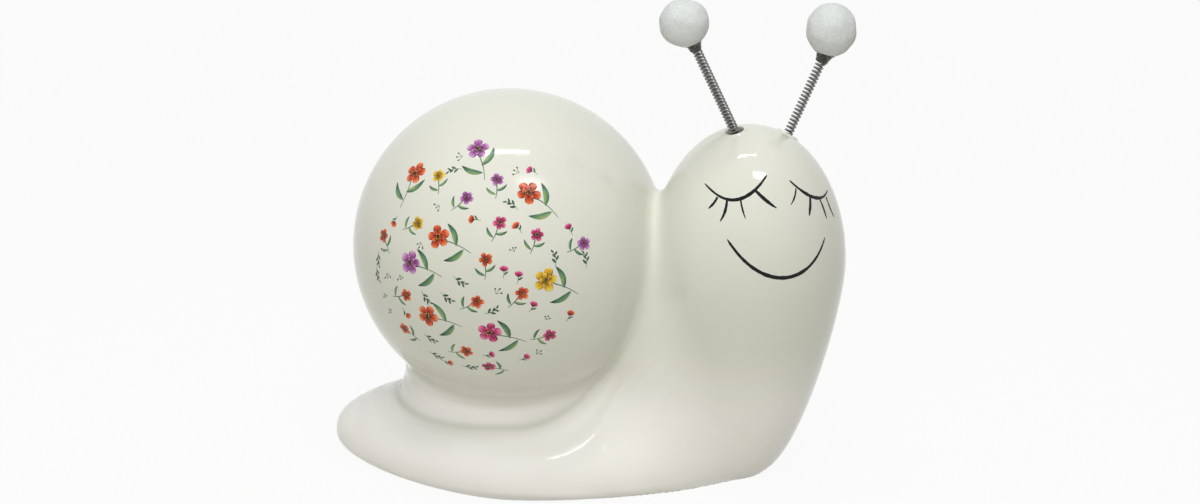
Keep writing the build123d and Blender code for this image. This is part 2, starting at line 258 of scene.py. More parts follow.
class SnailDrawing(PropertyGroup):
    """Sizes of the painted lines and the floral transfer."""

    face_turn: angle("Face turn", "The face's direction, from the near side to the front", 27)
    skin: length("Line thickness", "How far a painted line stands off the glaze", 0.0001)
    lid_width: length("Lid line", "Width of the eyelids' lines", 0.00102)
    lash_width: length("Lash line", "Width of the lashes at their roots", 0.00074)
    smile_width: length("Smile line", "Width of the smile's line at its middle", 0.00142)
    print_turn: angle("Print turn", "Direction of the print's middle on the shell", -5)
    print_rise: angle("Print rise", "Rise of the print's middle on the shell", 12)
    print_radius: length("Print radius", "Reach of the print round its middle", 0.043)
    blossom_radius: length("Blossom radius", "Radius of the large blossoms", 0.0044)
    small_blossom_radius: length("Small blossom radius", "Radius of the small blossoms", 0.0026)
    stem_length: length("Stem length", "Length of the large blossoms' stems", 0.009)
    leaf_length: length("Leaf length", "Length of the large blossoms' leaves", 0.0085)
    small_leaf_length: length("Small leaf length", "Length of the small blossoms' leaves", 0.0044)
    filler_radius: length("Filler radius", "Room that a small twig or bud takes", 0.0026)
    filler_tries: whole("Filler tries", "Places tried for these, for each motif", 16)
    filler_tilt_step: share("Filler tilt step", "Change of tilt from try to try", 2.4)
    print_tilt: angle("Print tilt", "Greatest tilt of a motif to either side", 80)
    print_count: whole("Print count", "Number of motifs in the print", 24)
    print_seed: whole("Print seed", "Start of the print's small chances", 7)
    print_tilt_step: share("Print tilt step", "Change of tilt from motif to motif", 2)


class SnailAntennae(PropertyGroup):
    """Sizes of springs, balls and glue."""

    wire: length("Wire diameter", "Diameter of the spring wire", 0.00074)
    coil: length("Coil diameter", "Outside diameter of the springs", 0.0036)
    pitch: length("Coil pitch", "Distance from turn to turn", 0.00135)
    spring_seat: share("Spring seat", "How deep a spring stands, as a share of its hole", 0.7)
    spring_entry: share("Spring entry", "How far it enters its ball, by radius", 0.4)
    ball_radius: length("Ball radius", "Radius of the soft balls", 0.0089)
    collar_length: length("Collar length", "Length of the glue under each ball", 0.003)
    collar_radius: length("Collar radius", "Radius of that glue at the ball", 0.0032)
    collar_tip: length("Collar tip", "Radius of that glue at its lower end", 0.0022)
    dimple: length("Ball dimples", "Depth of the soft dimples in the balls", 0.00022)


class SnailFinish(PropertyGroup):
    """Relief and unevenness of the finishes."""

    glaze_relief: length("Glaze relief", "Height of the waves in glaze and paint", 0.0006)
    glaze_waves: share("Glaze waves", "Strength of those waves", 0.25)
    glaze_drift: share("Glaze drift", "How uneven the glaze's thickness is", 0.3)
    # Darkening along the crease: partly glaze pooled thick there, partly painted shade
    pooling_and_shade: share("Pooling", "How much thicker the glaze is along the crease", 0.6)
    crazing: share("Crazing", "Height of the cracked glaze on the shell", 0.35)
    ripples: share("Ripples", "Height of the glaze's ripples on the foot", 7)
    ball_relief: length("Ball relief", "Depth of the pits in the balls' skin", 0.0005)
    glue_relief: length("Glue relief", "Height of the glue's bubbles", 0.0004)


class SnailColours(PropertyGroup):
    """Colours of glaze, lines, print, wire, balls and stage."""

    glaze: colour("Glaze", "The white glaze", (0.73, 0.735, 0.645))
    # Painted light: a lighter glaze colour low on the foot, standing in for the light that falls
    # there
    painted_lit_foot_glaze: colour("Foot glaze", "The whiter glaze low on the snail", (0.945, 0.93, 0.885))
    # Pooled glaze and painted shade: thick glaze is greyer and greener, and the same colour paints
    # the shade along the crease
    pooled_glaze_and_shade: colour("Pooled glaze", "Glaze where it lies thick", (0.59, 0.60, 0.50))
    biscuit: colour("Biscuit", "The bare ceramic under the foot", (0.72, 0.68, 0.6))
    line: colour("Line", "The painted face lines", (0.004, 0.004, 0.005))
    red: colour("Red", "Red blossoms", (0.64, 0.07, 0.02))
    red_light: colour("Light red", "Lit parts of red blossoms", (0.88, 0.3, 0.08))
    pink: colour("Pink", "Pink blossoms", (0.56, 0.04, 0.17))
    pink_light: colour("Light pink", "Lit parts of pink blossoms", (0.78, 0.26, 0.42))
    mauve: colour("Mauve", "Mauve blossoms", (0.35, 0.08, 0.32))
    mauve_light: colour("Light mauve", "Lit parts of mauve blossoms", (0.62, 0.36, 0.6))
    yellow: colour("Yellow", "Yellow blossoms", (0.74, 0.42, 0.015))
    yellow_light: colour("Light yellow", "Lit parts of yellow blossoms", (0.85, 0.68, 0.1))
    green: colour("Green", "Leaves and stems", (0.07, 0.2, 0.11))
    green_light: colour("Light green", "Lit parts of leaves", (0.25, 0.36, 0.12))
    wire: colour("Wire", "The steel of the springs", (0.25, 0.25, 0.24))
    ball: colour("Ball", "The soft balls", (0.7, 0.73, 0.71))
    glue: colour("Glue", "The set glue", (0.055, 0.055, 0.036))
    floor: colour("Floor", "The floor", (0.6, 0.59, 0.53))
    background: colour("Background", "The background", (1.0, 1.0, 1.0))


class SnailView(PropertyGroup):
    """The camera and the lamps."""

    azimuth: angle("Azimuth", "Camera direction round the snail", 10)
    elevation: angle("Elevation", "Camera direction above the floor", 20)
    distance: length("Distance", "From the camera to the shell's centre", 1.03)
    lens: share("Lens", "Focal length in millimetres", 85)
    shift_x: share("Shift across", "Camera shift across, as a share of the width", 0.07525)
    shift_y: share("Shift up", "Camera shift up, as a share of the width", -0.0061)
    lamp_reach: share("Lamp distance", "As a share of the camera's", 1.2)
    key_reach: share("Key distance", "As a share of the camera's", 1.56)
    floor_reach: share("Floor reach", "Half the floor's width, as such a share", 3)
    floor_glow: share("Floor glow", "How much of the seen floor is pure white", 0.93)
    ambient: share("Ambient", "Strength of the light from all round", 0.3)
    strip: share("Strip", "Power of the long lamp overhead", 2.2)
    strip_size: spread("Strip size", "Length and width of that lamp", (0.69, 0.04))
    strip_way: direction("Strip way", "To the camera's right, up and back", (-0.079, 0.938, 0.34))
    window: share("Window", "Power of the small square lamp", 1.5)
    window_size: spread("Window size", "Length and width of that lamp", (0.32, 0.16))
    window_way: direction("Window way", "To the camera's right, up and back", (0.24, 0.7, 0.71))
    key: share("Key", "Power of the large soft lamp", 11.2)
    key_size: spread("Key size", "Length and width of that lamp", (1.1, 0.9))
    key_way: direction("Key way", "Along the frame's own axes", (0, -0.8, 0.6))
    top: share("Top light", "Power of the soft lamp above", 4.2)
    top_size: spread("Top size", "Length and width of that lamp", (0.9, 0.9))
    top_way: direction("Top way", "Along the frame's own axes", (0, -0.1, 0.99))


# Form of the body, as distances to its surface


def smooth_join(first, second, reach):
    """Two distances joined as one form, with a fillet of about the given reach."""
    part = np.clip(0.5 + 0.5 * (second - first) / reach, 0, 1)
    return second + (first - second) * part - reach * part * (1 - part)


def ellipsoid(points, centre, radii):
    """Distance to an ellipsoid."""
    offset = (points - np.array(centre)) / np.array(radii)
    size = np.linalg.norm(offset, axis=-1)
    slope = np.linalg.norm(offset / np.array(radii), axis=-1)
    return size * (size - 1) / np.maximum(slope, TINY)


def foot(points, form):
    """Distance to the foot: a tapered outline with a rounded belt and a low dome above it."""
    x, y, z = np.moveaxis(points, -1, 0)
    reach = np.where(x < 0, form.tail_length, form.toe_length)
    power = np.where(x < 0, form.tail_power, form.toe_power)
    along = np.maximum(np.abs(x) / reach, TINY)
    across = np.maximum(np.abs(y) / form.foot_half_width, TINY)
    outline = (along**power + across**power) ** (1 / power)
    outline_slope = np.hypot(
        (along / outline) ** (power - 1) / reach,
        (across / outline) ** (power - 1) / form.foot_half_width,
    )
    height = form.foot_height - form.foot_belt
    level = np.maximum(z - form.foot_belt, 0) / height
    dome = (outline**form.foot_crown + level**form.foot_crown) ** (1 / form.foot_crown)
    dome_slope = np.hypot(
        (outline / dome) ** (form.foot_crown - 1) * outline_slope,
        (level / dome) ** (form.foot_crown - 1) / height,
    )
    side = (outline - 1) / outline_slope + form.foot_belt
    drop = form.foot_belt - z
    rounded = np.hypot(np.maximum(side, 0), np.maximum(drop, 0))
    belt = rounded + np.minimum(np.maximum(side, drop), 0) - form.foot_belt
    return np.where(z > form.foot_belt, (dome - 1) / dome_slope, belt)


def cubic(controls, steps):
    """Points on a cubic curve with four control points."""
    t = np.linspace(0, 1, steps)[:, None]
    start, leave, arrive, end = (np.array(point, float) for point in controls)
    return (
        (1 - t) ** 3 * start
        + 3 * t * (1 - t) ** 2 * leave
        + 3 * t**2 * (1 - t) * arrive
        + t**3 * end
    )


def neck_forward(form):
    """Place of the neck's upright axis along X."""
    return casting_high[0] - form.head_radius


def neck(points, form):
    """Distance to neck and head: a turned profile with an elliptical crown."""
    x, y, z = np.moveaxis(points, -1, 0)
    radius = form.head_radius
    profile = cubic(
        (
            (radius * form.neck_base, 0),
            (radius * form.neck_waist, 0),
            (radius, form.head_level * form.neck_swell),
            (radius, form.head_level),
        ),
        NECK_STEPS,
    )
    radii, levels = profile[1:, 0], profile[1:, 1]
    slope = np.interp(z, levels, np.gradient(radii, levels))
    radial = np.hypot(x - neck_forward(form), y)
    side = (radial - np.interp(z, levels, radii)) / np.sqrt(1 + slope**2)
    crown = ellipsoid(
        points,
        (neck_forward(form), 0, form.head_level),
        (radius, radius, form.crown_height - form.head_level),
    )
    return np.where(z > form.head_level, crown, side)


def skirt(points, form):
    """Distance to the tapered oval skirt that carries the shell."""
    x, y, z = np.moveaxis(points, -1, 0)
    along = (x + form.shell_back) / form.skirt_half_length
    across = y / form.skirt_half_width
    outline = np.maximum(np.hypot(along, across), TINY)
    slope = np.hypot(along / form.skirt_half_length, across / form.skirt_half_width) / outline
    side = (outline - 1) / slope + form.skirt_draft * (z - form.skirt_level)
    return np.maximum(side, np.maximum(z - form.skirt_top, form.skirt_bottom - z))


def shell_centre(form):
    """Centre of the shell's ball."""
    return np.array((-form.shell_back, 0, form.shell_level))


def facing(turn, rise):
    """The direction that is turned from the near side to the front, and raised."""
    return np.array(
        (math.sin(turn) * math.cos(rise), -math.cos(turn) * math.cos(rise), math.sin(rise))
    )


def whole_form(points, form):
    """Distance to the unbored form, and how far each point is from the shell's crease."""
    z = points[..., 2]
    saddle = ellipsoid(
        points,
        (form.saddle_forward, 0, form.saddle_level),
        (form.saddle_half_length, form.saddle_radius, form.saddle_radius),
    )
    nape = ellipsoid(
        points,
        (form.nape_forward, 0, form.nape_level),
        (form.nape_radius, form.nape_radius, form.nape_half_height),
    )
    low = smooth_join(foot(points, form), saddle, form.foot_fill)
    upright = smooth_join(neck(points, form), nape, form.nape_fill)
    body = smooth_join(low, upright, form.neck_fill)
    ball = np.linalg.norm(points - shell_centre(form), axis=-1) - form.shell_radius
    shell = smooth_join(ball, skirt(points, form), form.skirt_fill)
    rise = np.clip((z - form.valley_start) / (form.valley_end - form.valley_start), 0, 1)
    fill = form.crease_fill + (form.valley_fill - form.crease_fill) * rise**2 * (3 - 2 * rise)
    joined = smooth_join(body, shell, fill)
    return np.maximum(joined, -z), np.abs(body - shell)


def bored(distance, points, mouth, way, radius, depth, rim, beaded=True):
    """The form with one round hole cut into it, and a soft bead of glaze round its mouth."""
    offset = points - mouth
    along = offset @ way
    radial = np.linalg.norm(offset - along[..., None] * way, axis=-1)
    if beaded:
        bead = np.hypot(radial - radius - rim, distance) - rim + np.maximum(-along - depth, 0)
        distance = smooth_join(distance, bead, rim)
    bore = np.maximum(radial - radius, -along - depth)
    return -smooth_join(-distance, bore, rim)


def antenna_line(hand):
    """An antenna's hole mouth, its direction and its free length, from the packed hinges."""
    places = {joint["name"]: np.array(joint["pos_m"]) for joint in frame["joints"]}
    sway = places[f"{hand}_antenna_sway"]
    nod = places[f"{hand}_antenna_nod"]
    free_length = np.linalg.norm(nod - sway) / (NOD_SHARE - SWAY_SHARE)
    way = (nod - sway) / np.linalg.norm(nod - sway)
    return sway - way * free_length * SWAY_SHARE, way, free_length


def snail_distance(form):
    """The function that gives the distance to the glazed body with its holes."""
    antennae = [antenna_line(hand) for hand in HANDS]

    def distance(points):
        found, _ = whole_form(points, form)
        vent = np.array((-form.vent_back, 0, 0))
        down = np.array((0, 0, -1))
        vent_size = (form.vent_radius, form.vent_depth, form.rim)
        found = bored(found, points, vent, down, *vent_size, beaded=False)
        for mouth, way, _ in antennae:
            found = bored(found, points, mouth, way, form.hole_radius, form.hole_depth, form.rim)
        return found

    return distance


# Meshes


def slope_of(distance, points):
    """The direction and rate in which a distance grows."""
    steps = np.eye(3) * SLOPE_REACH
    rises = [distance(points + step) - distance(points - step) for step in steps]
    return np.stack(rises, -1) / (2 * SLOPE_REACH)


def settle(distance, points, rounds=3):
    """Points moved onto a surface, and the surface's outward normals there."""
    for _ in range(rounds):
        slope = slope_of(distance, points)
        steep = np.maximum((slope**2).sum(-1, keepdims=True), TINY)
        points = points - distance(points)[..., None] * slope / steep
    slope = slope_of(distance, points)
    return points, slope / np.maximum(np.linalg.norm(slope, axis=-1, keepdims=True), TINY)


def net(distance, low, high, step):
    """A net of quads round the surface of a form, from samples on a grid."""
    axes = [np.arange(a - 2 * step, b + 3 * step, step) for a, b in zip(low, high)]
    inside = distance(np.stack(np.meshgrid(*axes, indexing="ij"), -1)) < 0
    counts = np.array(inside.shape) - 1
    filled = sum(
        inside[i : counts[0] + i, j : counts[1] + j, k : counts[2] + k].astype(np.int8)
        for i in (0, 1)
        for j in (0, 1)
        for k in (0, 1)
    )
    mixed = (filled > 0) & (filled < 8)
    number = np.full(mixed.shape, -1)
    number[mixed] = np.arange(mixed.sum())
    points = np.array([axis[0] for axis in axes]) + (np.argwhere(mixed) + 0.5) * step
    quads = []
    unit = np.eye(3, dtype=int)
    for axis in range(3):
        near_cut = tuple(slice(0, -1) if n == axis else slice(1, -1) for n in range(3))
        far_cut = tuple(slice(1, None) if n == axis else slice(1, -1) for n in range(3))
        near, far = inside[near_cut], inside[far_cut]
        crossing = np.argwhere(near != far)
        leaves = near[tuple(crossing.T)]
        spots = crossing + 1 - unit[axis]
        across, upward = unit[axis - 2], unit[axis - 1]
        ring = (spots, spots - across, spots - across - upward, spots - upward)
        faces = np.stack([number[tuple(corner.T)] for corner in ring], -1)
        quads.append(np.where(leaves[:, None], faces, faces[:, ::-1]))
    return points, np.concatenate(quads)


def unique_edges(quads):
    """Each edge of a net once, as pairs of point numbers."""
    sides = np.concatenate([quads[:, [n, (n + 1) % 4]] for n in range(4)])
    return np.unique(np.sort(sides, axis=1), axis=0)


def mesh_arrays(mesh):
    """A mesh's points and edges as arrays."""
    points = np.empty(len(mesh.vertices) * 3)
    mesh.vertices.foreach_get("co", points)
    edges = np.empty(len(mesh.edges) * 2, np.int32)
    mesh.edges.foreach_get("vertices", edges)
    return points.reshape(-1, 3), edges.reshape(-1, 2)


def even_out(distance, points, edges, rounds, moved=None):
    """Spreads a net's points evenly over the surface, keeping them on it."""
    count = np.bincount(edges.ravel(), minlength=len(points))[:, None]
    for _ in range(rounds):
        total = np.stack(
            [
                np.bincount(edges[:, 0], points[edges[:, 1], axis], len(points))
                + np.bincount(edges[:, 1], points[edges[:, 0], axis], len(points))
                for axis in range(3)
            ],
            -1,
        )
        change = (total / count - points) / 2
        if moved is not None:
            change = change * moved[:, None]
        points, _ = settle(distance, points + change, 1)
    return settle(distance, points, 2)[0]


def near_holes(points, form):
    """1 near a hole's rim and 0 away from it, with a soft change between."""
    nearest = np.full(len(points), np.inf)
    for hand in HANDS:
        mouth, _, _ = antenna_line(hand)
        nearest = np.minimum(nearest, np.linalg.norm(points - mouth, axis=-1))
    return np.clip(HOLE_SURROUNDINGS - nearest / form.hole_radius, 0, 1)


def refine_holes(mesh, form):
    """Divides the faces near the antenna holes, so that their rims are round."""
    threshold = 0.2
    fine = bmesh.new()
    fine.from_mesh(mesh)
    for _ in range(2):
        fine.verts.ensure_lookup_table()
        points = np.array([vertex.co for vertex in fine.verts])
        near = near_holes(points, form) > threshold
        edges = [edge for edge in fine.edges if all(near[vertex.index] for vertex in edge.verts)]
        bmesh.ops.subdivide_edges(fine, edges=edges, cuts=1, use_grid_fill=True)
        fine.verts.index_update()
    fine.to_mesh(mesh)
    fine.free()


def new_object(name, mesh, material):
    """An object for a mesh, smooth and with its material."""
    made = bpy.data.objects.new(name, mesh)
    bpy.context.scene.collection.objects.link(made)
    mesh.materials.append(material)
    mesh.shade_smooth()
    return made


def store(mesh, attributes):
    """Puts a number at each point of a mesh for every named attribute."""
    for name, values in attributes.items():
        layer = mesh.attributes.new(name, "FLOAT", "POINT")
        layer.data.foreach_set("value", np.asarray(values, np.float32))
    mesh.update()


def mesh_object(name, points, faces, material, **attributes):
    """An object from points and faces, with a number at each point for every attribute."""
    mesh = bpy.data.meshes.new(name)
    mesh.from_pydata(points.tolist(), [], [list(face) for face in faces])
    store(mesh, attributes)
    return new_object(name, mesh, material)


def full_turn(sides):
    """Equal steps of angle round a circle."""
    return np.linspace(0, 2 * math.pi, sides, endpoint=False)


class Sheaf:
    """Closed tubes gathered into one mesh. Each is a run of rings with a tone at each point."""

    def __init__(self):
        self.points = []
        self.heights = []
        self.tones = []
        self.faces = []
        self.count = 0

    def add(self, rings, tones=0.5, heights=0.0):
        """Adds one tube, closed at both ends. Heights are kept for tubes that lie on a form."""
        runs, sides, _ = rings.shape
        numbers = self.count + np.arange(runs * sides).reshape(runs, sides)
        turned = np.roll(numbers, -1, axis=1)
        walls = np.stack([numbers[:-1], turned[:-1], turned[1:], numbers[1:]], -1)
        self.faces += walls.reshape(-1, 4).tolist()
        self.faces += [numbers[0, ::-1].tolist(), numbers[-1].tolist()]
        self.points.append(rings.reshape(-1, 3))
        self.heights.append(np.broadcast_to(heights, (runs, sides)).ravel())
        self.tones.append(np.broadcast_to(tones, (runs, sides)).ravel())
        self.count += runs * sides

    def build(self, name, material, distance=None):
        """The object that holds all the tubes, laid on a form where its distance is given."""
        points = np.concatenate(self.points)
        if distance is not None:
            laid, outward = settle(distance, points)
            points = laid + outward * np.concatenate(self.heights)[:, None]
        return mesh_object(name, points, self.faces, material, tone=np.concatenate(self.tones))

    def paint(self, place, midline, half_widths, tones, lift, skin):
        """Adds a thin painted ribbon along a flat midline, to be laid on a form."""
        run = np.gradient(midline, axis=0)
        run /= np.maximum(np.linalg.norm(run, axis=1, keepdims=True), TINY)
        across = np.stack([-run[:, 1], run[:, 0]], -1)
        turn = full_turn(RIBBON_SIDES)
        reach = half_widths[:, None] * np.cos(turn)
        flat = midline[:, None] + across[:, None] * reach[..., None]
        self.add(place(flat), tones, lift + np.sin(turn) * skin)


def turned_rings(centre, axes, profile, sides):
    """Rings round an axis from a profile of (radius, distance along)."""
    first, second, way = axes
    spin = full_turn(sides)
    around = first * np.cos(spin)[:, None] + second * np.sin(spin)[:, None]
    return np.stack([centre + around * radius + way * along for radius, along in profile])


def roughened(rings, centre, amount, waves_per_metre):
    """Rings pushed in and out from a centre by soft noise."""
    pushed = rings.copy()
    for spot in np.ndindex(rings.shape[:2]):
        offset = Vector(rings[spot] - centre)
        push = noise.noise(Vector(rings[spot]) * waves_per_metre) * amount
        pushed[spot] = rings[spot] + np.array(offset.normalized()) * push
    return pushed


def smooth_profile(points, parts):
    """A profile divided into shorter, smoother runs."""
    slopes = np.gradient(points, axis=0)
    smooth = [points[0]]
    for index in range(len(points) - 1):
        start, end = points[index], points[index + 1]
        controls = (start, start + slopes[index] / 3, end - slopes[index + 1] / 3, end)
        smooth.extend(cubic(controls, parts + 1)[1:])
    return smooth


def antenna_axes(hand):
    """Two directions across an antenna, and the direction along it."""
    _, way, _ = antenna_line(hand)
    first = np.cross(way, (0, 1, 0))
    first /= np.linalg.norm(first)
    return first, np.cross(way, first), way


def wound_wire(hand, sizes, low, high):
    """Rings of the coiled wire of one antenna between two distances from its hole."""
    mouth, _, _ = antenna_line(hand)
    first, second, way = antenna_axes(hand)
    radius = (sizes.coil - sizes.wire) / 2
    steps = round((high - low) / sizes.pitch * WIRE_STEPS_PER_TURN) + 1
    along = np.linspace(low, high, steps)[:, None]
    turn = 2 * math.pi * along / sizes.pitch
    outward = first * np.cos(turn) + second * np.sin(turn)
    forward = second * np.cos(turn) - first * np.sin(turn)
    run = forward * (2 * math.pi * radius / sizes.pitch) + way
    run /= np.linalg.norm(run, axis=1, keepdims=True)
    upward = np.cross(run, outward)
    spin = full_turn(WIRE_SIDES)[None, :, None]
    centre = mouth + way * along + outward * radius
    ring = outward[:, None] * np.cos(spin) + upward[:, None] * np.sin(spin)
    return centre[:, None] + ring * sizes.wire / 2


# Painted lines and the print


def face_place(form, drawing):
    """The function that sets flat points of the face on the near side of the head."""
    turn = drawing.face_turn
    out = facing(turn, 0)
    side = facing(turn + math.pi / 2, 0)
    axis = np.array((neck_forward(form), 0, 0))

    def place(flat):
        across, level = flat[..., 0], flat[..., 1]
        above = np.clip((level - form.head_level) / (form.crown_height - form.head_level), 0, 1)
        radius = form.head_radius * np.sqrt(1 - above**2)
        reach = np.sqrt(np.maximum(radius**2 - across**2, TINY**2))
        up = np.array((0, 0, 1))
        return axis + across[..., None] * side + reach[..., None] * out + level[..., None] * up

    return place


def pulled(start, end, bend):
    """A straight line as four control points, bowed to one side by a share of its length."""
    start, end = np.array(start), np.array(end)
    run = end - start
    bow = np.array((-run[1], run[0])) * bend
    return start, start + run / 3 + bow, start + run * 2 / 3 + bow, end


def brush_line(sheaf, place, controls, width, end_shares, skin):
    """One painted line, fuller in its middle and uneven as by hand."""
    taper = 0.35
    unevenness = 0.22
    waves_per_metre = 900
    tip_share = 0.3
    tone = 0.35
    tone_change = 0.3
    start_share, end_share = end_shares
    midline = cubic(controls, LINE_STEPS)
    t = np.linspace(0, 1, LINE_STEPS)
    body = np.minimum(1, np.minimum(t, 1 - t) / taper)
    ends = start_share + (end_share - start_share) * t
    wander = np.array(
        [noise.noise(Vector((*(spot * waves_per_metre), 0.5))) for spot in midline]
    )
    half_widths = width / 2 * (ends + (1 - ends) * body) * (1 + unevenness * wander)
    half_widths[[0, -1]] *= tip_share
    tones = tone + tone_change * wander[:, None]
    sheaf.paint(place, midline, half_widths, tones, 0, skin)


def shell_place(form, drawing, reach, turn, tilt):
    """The function that sets flat points on the shell, round a spot of the print."""
    swing = drawing.print_turn + reach * math.cos(turn) / form.shell_radius
    rise = drawing.print_rise + reach * math.sin(turn) / form.shell_radius
    out = facing(swing, rise)
    level = np.cross((0, 0, 1), out)
    level /= np.linalg.norm(level)
    across = level * math.cos(tilt) + np.cross(out, level) * math.sin(tilt)
    upward = np.cross(out, across)
    middle = shell_centre(form)

    def place(flat):
        spot = out * form.shell_radius + flat[..., :1] * across + flat[..., 1:] * upward
        return middle + spot * form.shell_radius / np.linalg.norm(spot, axis=-1, keepdims=True)

    return place


def motif_place(form, drawing, index):
    """The place of one motif of the print, on a sunflower spiral."""
    reach = drawing.print_radius * math.sqrt((index + 0.5) / drawing.print_count)
    tilt = drawing.print_tilt * math.sin(index * drawing.print_tilt_step)
    return shell_place(form, drawing, reach, index * GOLDEN_TURN, tilt)


def free_places(form, drawing, taken):
    """Places between the motifs with room for a small twig, bud or speck."""
    spots = np.array([spot for spot, _ in taken])
    radii = np.array([radius for _, radius in taken])
    tries = drawing.print_count * drawing.filler_tries
    found = []
    for index in range(tries):
        reach = drawing.print_radius * math.sqrt((index + 0.5) / tries)
        turn = index * GOLDEN_TURN
        place = shell_place(form, drawing, reach, turn, index * drawing.filler_tilt_step)
        spot = place(np.zeros(2))
        room = np.linalg.norm(spots - spot, axis=1) - radii
        if room.min() > drawing.filler_radius:
            found.append(place)
            spots = np.vstack([spots, spot])
            radii = np.append(radii, drawing.filler_radius)
    return found


def turned_line(origin, turn, run, bow, steps):
    """A flat line from an origin in a direction, bowed to one side."""
    t = np.linspace(0, 1, steps)
    along = t * run
    aside = bow * np.sin(math.pi * t)
    cos, sin = math.cos(turn), math.sin(turn)
    return np.stack(
        [origin[0] + along * cos - aside * sin, origin[1] + along * sin + aside * cos], -1
    )


class Painter:
    """Lays petals, leaves and stems of one motif on the shell."""

    def __init__(self, place, skin, chance):
        self.place = place
        self.skin = skin
        self.chance = chance

    def dab(self, sheaf, line, half_widths, tones, lift):
        """One painted shape along a flat line."""
        sheaf.paint(self.place, line, half_widths, tones, lift, self.skin)

    def petal(self, sheaf, centre, turn, reach, width, tone, lift):
        """A petal: deepest at its root, lightest on its face, with a darker edge and vein."""
        root_share = 0.04
        fullness = 0.75
        tip = 1.0001
        vein_half_width = 0.3
        vein_depth = 0.14
        face_light = 0.85
        edge_depth = 0.42
        t = np.linspace(0, 1, PETAL_STEPS)
        bow = reach * self.chance.uniform(-0.06, 0.06)
        line = turned_line(centre, turn, reach, bow, PETAL_STEPS)
        shape = (t + root_share) ** fullness * np.sqrt(np.maximum(tip - t**2, 0))
        half_widths = width * shape / shape.max()
        side = np.cos(full_turn(RIBBON_SIDES))
        t = t[:, None]
        vein = vein_depth * (np.abs(side) < vein_half_width) * t
        uneven = self.chance.uniform(-0.1, 0.1) * side
        tones = tone + face_light * t**1.3 - edge_depth * t * side**4 - vein + uneven
        self.dab(sheaf, line, half_widths, tones, lift)

    def blossom(self, petals, stamens, centre, reach, rows):
        """A blossom with darker inner rows of petals and a ring of stamens."""
        shrink = 0.42
        root_tone = -0.05
        row_depth = 0.12
        slimness = 0.36
        start = self.chance.uniform(0, math.pi)
        step = math.pi * 2 / PETALS
        for row in range(rows):
            size = reach * (1 - shrink * row)
            for index in range(PETALS):
                turn = start + (row / 2 + index) * step
                tone = root_tone - row_depth * row + self.chance.uniform(-0.08, 0.14)
                own = size * self.chance.uniform(0.9, 1.02)
                level = row * PETALS + index % 2 + (index == PETALS - 1)
                lift = level * self.skin / 4
                self.petal(petals, centre, turn, own, own * slimness, tone, lift)
        for index in range(STAMENS):
            turn = index * math.pi * 2 / STAMENS + start
            out = reach * self.chance.uniform(0.12, 0.24)
            spot = (centre[0] + out * math.cos(turn), centre[1] + out * math.sin(turn))
            line = turned_line(spot, turn, reach * 0.09, 0, BEAD_STEPS)
            round_ends = np.maximum(1 - np.linspace(-1, 1, BEAD_STEPS) ** 2, 0.02)
            bead = reach * 0.045 * np.sqrt(round_ends)
            self.dab(stamens, line, bead, self.chance.uniform(0.1, 0.7), self.skin * 3)

    def leaf(self, leaves, origin, turn, reach, width, bow, tone=0.42):
        """A pointed leaf: lighter on one side of its rib, darkest at its tip."""
        fullness = 0.85
        end_share = 0.03
        rib_light = 0.3
        middle_light = 0.2
        tip_depth = 0.5
        t = np.linspace(0, 1, LEAF_STEPS)
        line = turned_line(origin, turn, reach, bow, LEAF_STEPS)
        half_widths = width * (np.sin(math.pi * t**fullness) ** fullness + end_share)
        side = np.cos(full_turn(RIBBON_SIDES))
        t = t[:, None]
        lit = rib_light * np.sign(side) * np.abs(side) ** 0.4
        own = tone + self.chance.uniform(-0.12, 0.12)
        tones = own + lit * (1 - t) + middle_light * np.sin(math.pi * t) - tip_depth * t**3
        self.dab(leaves, line, half_widths, tones, 0)

    def stem(self, leaves, top, run, width, bow=0.05, tone=0.3):
        """A thin stem down from a point."""
        line = turned_line((0, top), -math.pi / 2, run, run * bow, PETAL_STEPS)
        self.dab(leaves, line, np.linspace(width, width / 2, PETAL_STEPS), tone, 0)

    def twig(self, leaves, reach, width):
        """A bowed twig with small dark leaves in pairs."""
        bow = 0.12
        tone = 0.12
        self.stem(leaves, reach / 2, reach, width * 0.6, bow, tone)
        for index in range(5):
            level = reach * (0.42 - 0.17 * index)
            turn = math.pi * (0.3 if index % 2 else 0.7)
            size = reach * (0.3 + 0.03 * index)
            aside = reach * bow * math.sin(math.pi * (0.5 - level / reach))
            self.leaf(leaves, (aside, level), turn, size, size * 0.2, 0, tone)

    def bud(self, petals, leaves, reach, width):
        """A closed bud of three petals on a short stem with one small leaf."""
        self.stem(leaves, 0, reach * 1.3, width * 0.7)
        self.leaf(leaves, (0, -reach * 0.7), 0.7, reach, reach * 0.16, 0, 0.2)
        for index in range(3):
            turn = math.pi * (0.3 + 0.2 * index)
            lift = (index % 2) * self.skin * 0.4
            self.petal(petals, (0, -reach * 0.1), turn, reach, reach * 0.34, 0.0, lift)

    def specks(self, leaves, reach, width):
        """Three seeds on fine stalks."""
        seed_start = 0.75
        seed = 2.2
        stalk = 0.5
        tone = 0.15
        for index in range(3):
            turn = math.pi * (0.25 + 0.25 * index)
            own = reach * self.chance.uniform(0.6, 1.0)
            line = turned_line((0, -reach / 2), turn, own, own * 0.08, SPECK_STEPS)
            swell = np.where(np.linspace(0, 1, SPECK_STEPS) > seed_start, seed, stalk)
            self.dab(leaves, line, width * 0.6 * swell, tone, 0)


# Materials


def fill(tree, made, inputs):
    """Fills a node's inputs with values or other sockets."""
    for name, value in dict(inputs).items():
        if isinstance(value, bpy.types.NodeSocket):
            tree.links.new(value, made.inputs[name])
        else:
            made.inputs[name].default_value = value
    return made


def node(tree, kind, inputs=(), **settings):
    """A shader node with its settings and its inputs."""
    made = tree.nodes.new(kind)
    for name, value in settings.items():
        setattr(made, name, value)
    return fill(tree, made, inputs)


